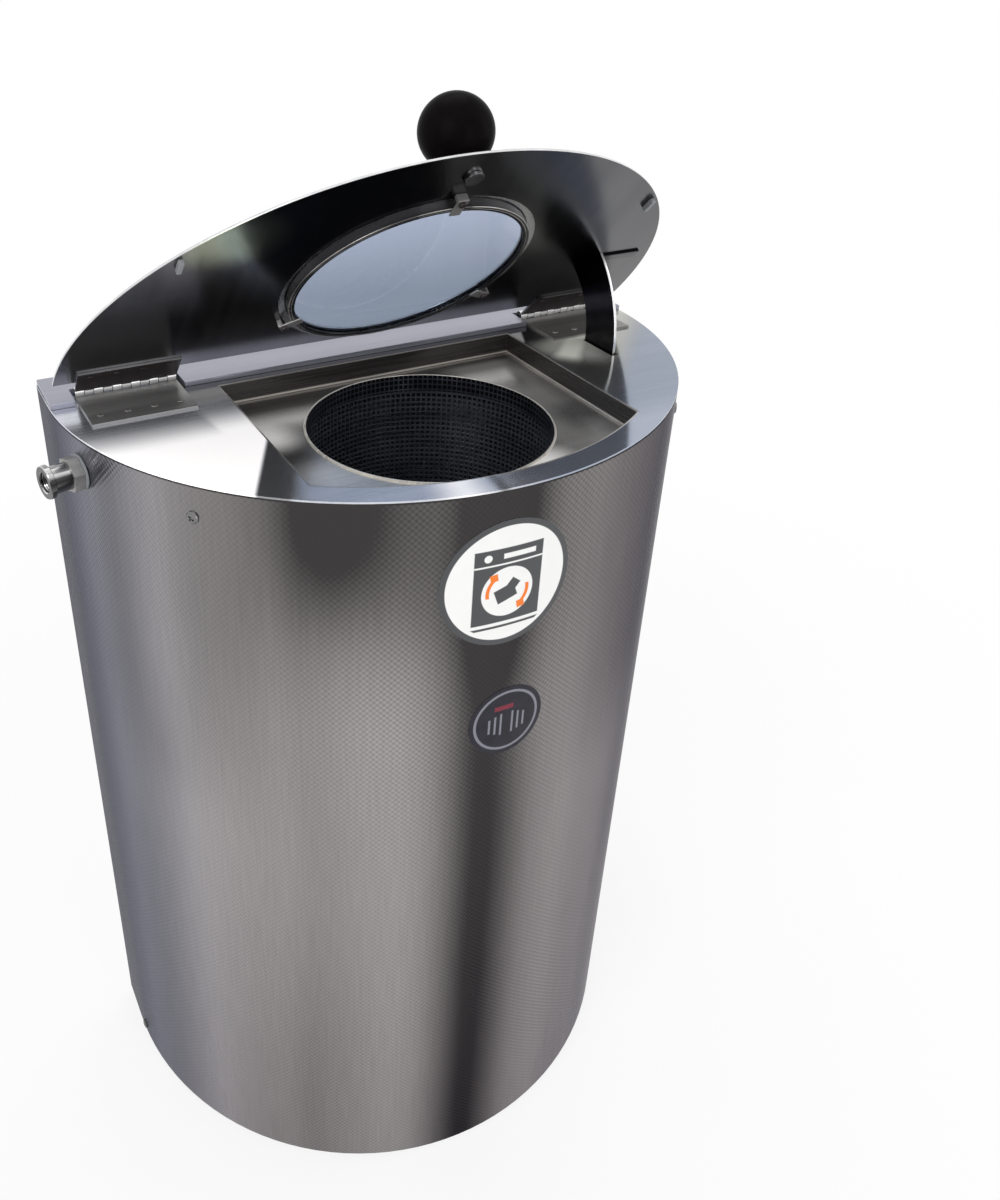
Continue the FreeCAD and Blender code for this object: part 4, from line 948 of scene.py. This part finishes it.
def twin(piece, name):
    copy = piece.copy()
    copy.data = piece.data.copy()
    copy.name = copy.data.name = name
    bpy.context.scene.collection.objects.link(copy)
    return copy


def joined(pieces, name):
    take(pieces[0])
    for piece in pieces:
        piece.select_set(True)
    bpy.ops.object.join()
    pieces[0].name = pieces[0].data.name = name
    return pieces[0]


def paint(piece, *materials):
    piece.data.materials.clear()
    for material in materials:
        piece.data.materials.append(material)


def stand_for(piece, node):
    """The piece rides with the CAD node's body and is shown in its place."""
    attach(piece, frame["nodes"][node]["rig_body"])
    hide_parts(node)


def dress(node, material, bevel):
    """A merged, softened copy of a CAD node, shown in its place."""
    piece = twin(frame["nodes"][node], f"{node}_look")
    piece.parent = None
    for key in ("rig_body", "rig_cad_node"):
        del piece[key]
    edit(piece)
    bpy.ops.mesh.remove_doubles(threshold=0.00001)
    bpy.ops.mesh.dissolve_limited(angle_limit=math.radians(0.4))
    leave()
    if piece.data.attributes.get("custom_normal"):
        piece.data.attributes.remove(piece.data.attributes["custom_normal"])
    round_edges(piece, bevel)
    smooth(piece)
    paint(piece, material)
    stand_for(piece, node)
    return piece


def lathe(name, outline, steps, closed=True):
    """Turns (radius, height) pairs about Z by extruding a ring from one to the next."""
    radius, height = outline[0]
    bpy.ops.object.select_all(action="DESELECT")
    bpy.ops.mesh.primitive_circle_add(vertices=steps, radius=radius, location=(0, 0, height),
                                      fill_type="NOTHING")
    piece = named(name)
    edit(piece, "EDGE")
    route = outline + [outline[0]] if closed else outline
    for (radius, height), (wide, high) in zip(route, route[1:]):
        bpy.ops.mesh.extrude_edges_move(
            TRANSFORM_OT_translate={"value": (0, 0, high - height)})
        if wide == 0:
            bpy.ops.mesh.merge(type="CENTER")
            break
        share = wide / radius
        bpy.ops.transform.resize(value=(share, share, 1), center_override=(0, 0, 0))
    bpy.ops.mesh.select_all(action="SELECT")
    bpy.ops.mesh.remove_doubles(threshold=0.000005)
    bpy.ops.mesh.normals_make_consistent(inside=False)
    leave()
    return piece


def arc(middle_r, middle_z, radius, start, stop, steps):
    """Points of an arc in the turning plane, angles in degrees from outward."""
    angles = [math.radians(start + (stop - start) * step / steps)
              for step in range(steps + 1)]
    return [(middle_r + radius * math.cos(angle), middle_z + radius * math.sin(angle))
            for angle in angles]


def skin_place(azimuth, height):
    """Z out of the round skin, at an azimuth counted to the left from the front."""
    turn = math.radians(azimuth)
    spot = Vector((-math.sin(turn) * BODY_RADIUS, -math.cos(turn) * BODY_RADIUS, height))
    return Matrix.Translation(spot) @ Matrix.Rotation(
        math.radians(90), 4, (math.cos(turn), -math.sin(turn), 0))


# Floor.
bpy.ops.mesh.primitive_plane_add(size=14, location=(0, 0, 0))
floor = named("studio_floor")
paint(floor, floor_paper())


# Casing, deck and tray.
def dress_tray():
    """Brushed floor, walls and neck painted dark as shade, and a painted highlight on the bead
    round the mouth.
    """
    neck_reach, bead_foot = 0.1045, DECK - 0.0215
    tray = dress("drip_tray", TRAY_STEEL, 0.0005)
    paint(tray, TRAY_STEEL, TRAY_WALL, BEAD_HIGHLIGHT, NECK)
    for face in tray.data.polygons:
        corners = [tray.data.vertices[one].co for one in face.vertices]
        if max(math.hypot(spot.x, spot.y - DRUM) for spot in corners) < neck_reach:
            face.material_index = 2 if face.center.z > bead_foot else 3
        elif abs(face.normal.z) < 0.3:
            face.material_index = 1


def louvre_blades():
    """A tilted blade in each slot of the back panel."""
    lowest, pitch, count = 0.260, 0.016, 6
    blades = []
    for step in range(count):
        slot = lowest + pitch * step
        bpy.ops.object.select_all(action="DESELECT")
        bpy.ops.mesh.primitive_plane_add(size=1, location=(0, PANEL_INSIDE - 0.0012, slot + 0.003),
                                         rotation=(math.radians(38), 0, 0))
        bpy.context.object.scale = (0.074, 0.011, 1)
        blade = named(f"louvre_blade_{step}")
        edit(blade, "EDGE")
        bpy.ops.mesh.subdivide(number_cuts=3)
        leave()
        press(blade, "SOLIDIFY", thickness=0.0008, offset=0)
        round_edges(blade, 0.0002)
        blades.append(blade)
    piece = joined(blades, "louvre_blades")
    smooth(piece)
    paint(piece, ZINC)
    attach(piece, "casing")


dress("body_skin", SKIN, 0.0004)
dress("top_deck", DECK_STEEL, 0.0004)
dress_tray()
dress("rear_strip", STRIP_STEEL, 0.0006)
dress("base_plate", ZINC, 0.0004)
dress("rubber_feet", RUBBER, 0.0012)
dress("back_panel", ZINC, 0.0003)
louvre_blades()


# Lid, window and knob.
def dress_lid():
    """Polished below and painted dark there as a dark reflection, brushed on top, with a painted
    highlight on the cut edge and the pressed ring.
    """
    ring_inside, ring_outside = 0.1022, 0.1074
    lid = dress("lid_panel", LID_UNDER, 0.0003)
    paint(lid, LID_UNDER, LID_TOP, EDGE_HIGHLIGHT)
    for face in lid.data.polygons:
        facing = face.normal.dot(LID_OUTWARD)
        local = LID.inverted() @ face.center
        from_window = math.hypot(local.x, local.y + WINDOW_SETBACK)
        if abs(facing) < 0.3 or ring_inside < from_window < ring_outside:
            face.material_index = 2
        else:
            face.material_index = 1 if facing > 0 else 0


def ball_knob():
    """A glossy ball on a short foot."""
    rise, radius, neck, foot, foot_top = 0.034, 0.0275, 0.012, 0.015, 0.003
    below_middle = math.sqrt(radius ** 2 - neck ** 2)
    start = math.degrees(math.atan2(-below_middle, neck))
    outline = [(foot - 0.0005, 0.0), (foot, 0.0005), (foot, foot_top - 0.0006),
               (foot - 0.0008, foot_top), (neck + 0.0002, foot_top),
               *arc(0, rise, radius, start, 89, 36), (0, rise + radius)]
    knob = lathe("ball_knob_look", outline, 96, closed=False)
    close_foot(knob)
    smooth(knob, 40)
    paint(knob, GLOSS_BLACK)
    settle(knob, LID @ Matrix.Translation((0, -KNOB_SETBACK, LID_SHEET)))
    stand_for(knob, "ball_knob")


dress_lid()
dress("window_pane", PANE, 0.0005)
dress("window_seal", WINDOW_RING, 0.0009)
dress("window_clips", LEAF_STEEL, 0.0006)
# The clip screws take the leaf steel painted dark.
dress("clip_screws", LEAF_PAINTED_DARK, 0.0006)
ball_knob()
dress("knob_screw", POLISHED, 0.0006)
dress("lid_bumpers", GREY_PAINT, 0.0008)


# Sector plate and hinges.
def dress_sector():
    """Satin cheeks painted near black as a dark reflection, with a painted highlight on the rolled
    edge.
    """
    right_cheek = 0.2035
    plate = dress("sector_plate", SECTOR_PAINTED_DARK, 0.0005)
    paint(plate, SECTOR_PAINTED_DARK, EDGE_HIGHLIGHT)
    for face in plate.data.polygons:
        on_cheek = abs(face.normal.x) > 0.6 or face.center.x > right_cheek
        face.material_index = 0 if on_cheek else 1


def dress_leaf(node, leaf_steel, edge_steel):
    """A leaf with a painted highlight on its barrels, painted shade in the gaps between them and a
    front edge of its own.
    """
    barrel_reach, widest_edge_face = 0.0046, 0.0002
    leaf = dress(node, leaf_steel, 0.0006)
    paint(leaf, leaf_steel, KNUCKLE_HIGHLIGHT, RUBBER, edge_steel)
    for face in leaf.data.polygons:
        from_pin = math.hypot(face.center.y - HINGE.y, face.center.z - HINGE.z)
        if from_pin < barrel_reach:
            # Barrel ends take black rubber as painted shade in the gaps, and the barrels a painted
            # highlight.
            face.material_index = 2 if abs(face.normal.x) > 0.5 else 1
        elif face.area < widest_edge_face and face.center.y < 0 and abs(face.normal.z) < 0.8:
            face.material_index = 3


dress_sector()
dress_leaf("hinge_deck_leaf_left", LEAF_STEEL, LEAF_STEEL)
# The right deck leaf takes the copy painted in shade.
dress_leaf("hinge_deck_leaf_right", LEAF_PAINTED_SHADE, LEAF_PAINTED_SHADE)
# The lid's leaves are painted dark as a dark reflection, with edges of dark screw steel.
for side in ("left", "right"):
    dress_leaf(f"hinge_lid_leaf_{side}", LEAF_PAINTED_DARK, DARK_SCREW)
    dress(f"hinge_pin_{side}", DARK_SCREW, 0.0003)
dress("deck_rivets", LEAF_STEEL, 0.0004)
# The lid's rivets take the leaf steel painted dark.
dress("lid_rivets", LEAF_PAINTED_DARK, 0.0004)


# Side union and screws.
def side_union():
    """A turned stub with chamfers, a ring at its end and a thread inside its mouth."""
    bore, shank, stub, ring = 0.008, 0.010, 0.011, 0.0135
    start, shoulder, end, ring_length = -0.020, 0.002, 0.030, 0.005
    outline = [(bore, start), (shank, start), (shank, shoulder), (stub, shoulder),
               (stub, end - ring_length - 0.0005), (ring - 0.0008, end - ring_length),
               (ring, end - ring_length + 0.0006), (ring, end - 0.0008), (ring - 0.0006, end),
               (bore + 0.0008, end), (bore, end - 0.0008)]
    pitch, depth, turns = 0.0015, 0.0004, 7
    for step in range(turns):
        crest = end - 0.0018 - step * pitch
        outline += [(bore, crest), (bore + depth, crest - pitch / 2)]
    union = lathe("side_union_look", outline, 72)
    smooth(union, 28)
    paint(union, POLISHED)
    settle(union, skin_place(76.5, DECK - 0.031))
    stand_for(union, "side_union")


def cross_head(name, radius, height, shank, length):
    """A domed screw head with a cross recess, on its shank."""
    head = lathe(name, [(radius, 0.0), (radius, height * 0.45),
                        (radius * 0.86, height * 0.82), (radius * 0.5, height), (0, height)],
                 40, closed=False)
    cutters = []
    for turn in (0, 90):
        bpy.ops.object.select_all(action="DESELECT")
        bpy.ops.mesh.primitive_cube_add(size=1, location=(0, 0, height),
                                        rotation=(0, 0, math.radians(turn)))
        bpy.context.object.scale = (radius * 1.05, radius * 0.26, height * 1.1)
        cutters.append(named(f"{name}_cutter_{turn}"))
    close_foot(head)
    for cutter in cutters:
        press(head, "BOOLEAN", object=cutter, operation="DIFFERENCE", solver="EXACT")
        bpy.data.objects.remove(cutter)
    stem = lathe(f"{name}_stem", [(shank, 0.0002), (shank, -length * 0.8),
                                  (shank * 0.4, -length)], 24, closed=False)
    return joined([head, stem], name)


def skin_screws():
    """Two screws near the skin's top and two near its foot, left and right."""
    pattern = cross_head("skin_screw", radius=0.005, height=0.0022, shank=0.0025, length=0.009)
    smooth(pattern, 30)
    paint(pattern, DARK_SCREW)
    places = [(azimuth * side, height) for azimuth, height in ((51, DECK - 0.0275), (86, 0.020))
              for side in (1, -1)]
    screws = [settle(twin(pattern, f"skin_screw_{number}"), skin_place(*place))
              for number, place in enumerate(places)]
    bpy.data.objects.remove(pattern)
    stand_for(joined(screws, "skin_screws_look"), "skin_screws")


side_union()
dress("union_hex_nut", LEAF_STEEL, 0.0009)
dress("union_gasket", GREY_PAINT, 0.0005)
skin_screws()


# Basket.
def perforated_wall():
    """The basket's wall as a grid of square holes, cut by insetting each cell."""
    low, high = basket_low.z + 0.008, basket_high.z - 0.006
    bar_width = 0.0012
    bpy.ops.object.select_all(action="DESELECT")
    bpy.ops.mesh.primitive_cylinder_add(vertices=CELLS_ROUND, radius=BASKET_RADIUS,
                                        depth=high - low, end_fill_type="NOTHING",
                                        location=(0, DRUM, (low + high) / 2))
    wall = named("basket_wall")
    edit(wall, "EDGE")
    pick_edges(wall, lambda first, second: abs(first.z - second.z) > 0.01)
    bpy.ops.mesh.subdivide(number_cuts=CELLS_HIGH - 1)
    bpy.ops.mesh.select_mode(type="FACE")
    bpy.ops.mesh.select_all(action="SELECT")
    bpy.ops.mesh.inset(use_individual=True, thickness=bar_width / 2)
    bpy.ops.mesh.delete(type="FACE")
    leave()
    press(wall, "SOLIDIFY", thickness=0.0012, offset=-1)
    return wall


def spin_basket():
    """The perforated wall between a rolled rim and a floor with a raised middle."""
    base, rim = basket_low.z, basket_high.z
    outer, inner = BASKET_RADIUS, BASKET_RADIUS - 0.0015
    rim_foot, roll, wall_foot = rim - 0.0066, 0.002, base + 0.0086
    cone_foot, cone_top, cone_rise, sheet = 0.045, 0.016, 0.025, 0.002
    wall = perforated_wall()
    top = lathe("basket_rim", [(outer, rim_foot), *arc(outer, rim - roll, roll, -90, 90, 8),
                               (inner, rim), (inner, rim_foot)], CELLS_ROUND)
    below = [(outer, wall_foot), (outer, base + 0.001), (outer - 0.001, base),
             (cone_foot, base), (cone_top, base + cone_rise), (0.0, base + cone_rise)]
    above = [(inner, wall_foot), (inner, base + 0.0035), (inner - 0.0015, base + sheet),
             (cone_foot + sheet, base + sheet), (cone_top + sheet, base + cone_rise + sheet),
             (0.0, base + cone_rise + sheet)]
    under = lathe("basket_under", below, CELLS_ROUND, closed=False)
    floor_sheet = lathe("basket_floor", above, CELLS_ROUND, closed=False)
    rounds = joined([top, under, floor_sheet], "basket_rounds")
    settle(rounds, Matrix.Translation((0, DRUM, 0)))
    basket = joined([wall, rounds], "spin_basket_look")
    smooth(basket, 30)
    paint(basket, MESH_STEEL)
    stand_for(basket, "spin_basket")


spin_basket()


# Labels on the front.
def front_label(name, middle, radius, material):
    """A thin round label that follows the skin's curve."""
    across, height = middle
    rings = [(radius * share, 0.0) for share in (1, 0.97, 0.85, 0.7, 0.55, 0.4, 0.25, 0.1, 0)]
    label = lathe(name, rings, 96, closed=False)
    settle(label, Matrix.Translation((across, -BODY_RADIUS - 0.03, height))
           @ Matrix.Rotation(math.radians(90), 4, "X"))
    bpy.ops.object.select_all(action="DESELECT")
    bpy.ops.mesh.primitive_cylinder_add(vertices=512, radius=BODY_RADIUS + 0.00005,
                                        depth=0.4, location=(0, 0, height))
    form = named("skin_form")
    press(label, "SHRINKWRAP", target=form, wrap_method="PROJECT", use_project_y=True,
          use_positive_direction=True, use_negative_direction=False)
    bpy.data.objects.remove(form)
    press(label, "SOLIDIFY", thickness=0.0001, offset=1)
    smooth(label)
    paint(label, material)
    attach(label, "casing")


front_label("use_label", USE_LABEL, 0.0545, use_label_print())
front_label("round_badge", ROUND_BADGE, 0.0335, badge_print())


# Pieces inside the casing keep their solids and get their finishes.
INSIDE = {
    PLAIN_STEEL: ("foot_bolts", "hub_nut", "drive_shaft", "upper_bearing", "lower_bearing",
                  "lock_bolt", "hose_clamps"),
    DARK_SCREW: ("outer_tub",),
    ZINC: ("lock_bracket", "union_locknut"),
    CAST: ("basket_hub", "motor_top_cap", "motor_stator", "motor_bottom_cap"),
    IRON: ("bearing_housing", "motor_rotor"),
    RUBBER: ("shaft_seal", "rubber_mounts", "tub_bellows"),
    HOSE_RUBBER: ("drain_hose",),
    NYLON: ("slot_guide", "drain_outlet", "lock_solenoid"),
    GREY_PAINT: ("drive_plate", "frame_shelf", "frame_posts", "motor_standoffs"),
    BOX_PLASTIC: ("control_box", "control_cover", "motor_capacitor"),
}
for material, nodes in INSIDE.items():
    for node in nodes:
        paint(frame["nodes"][node], material)
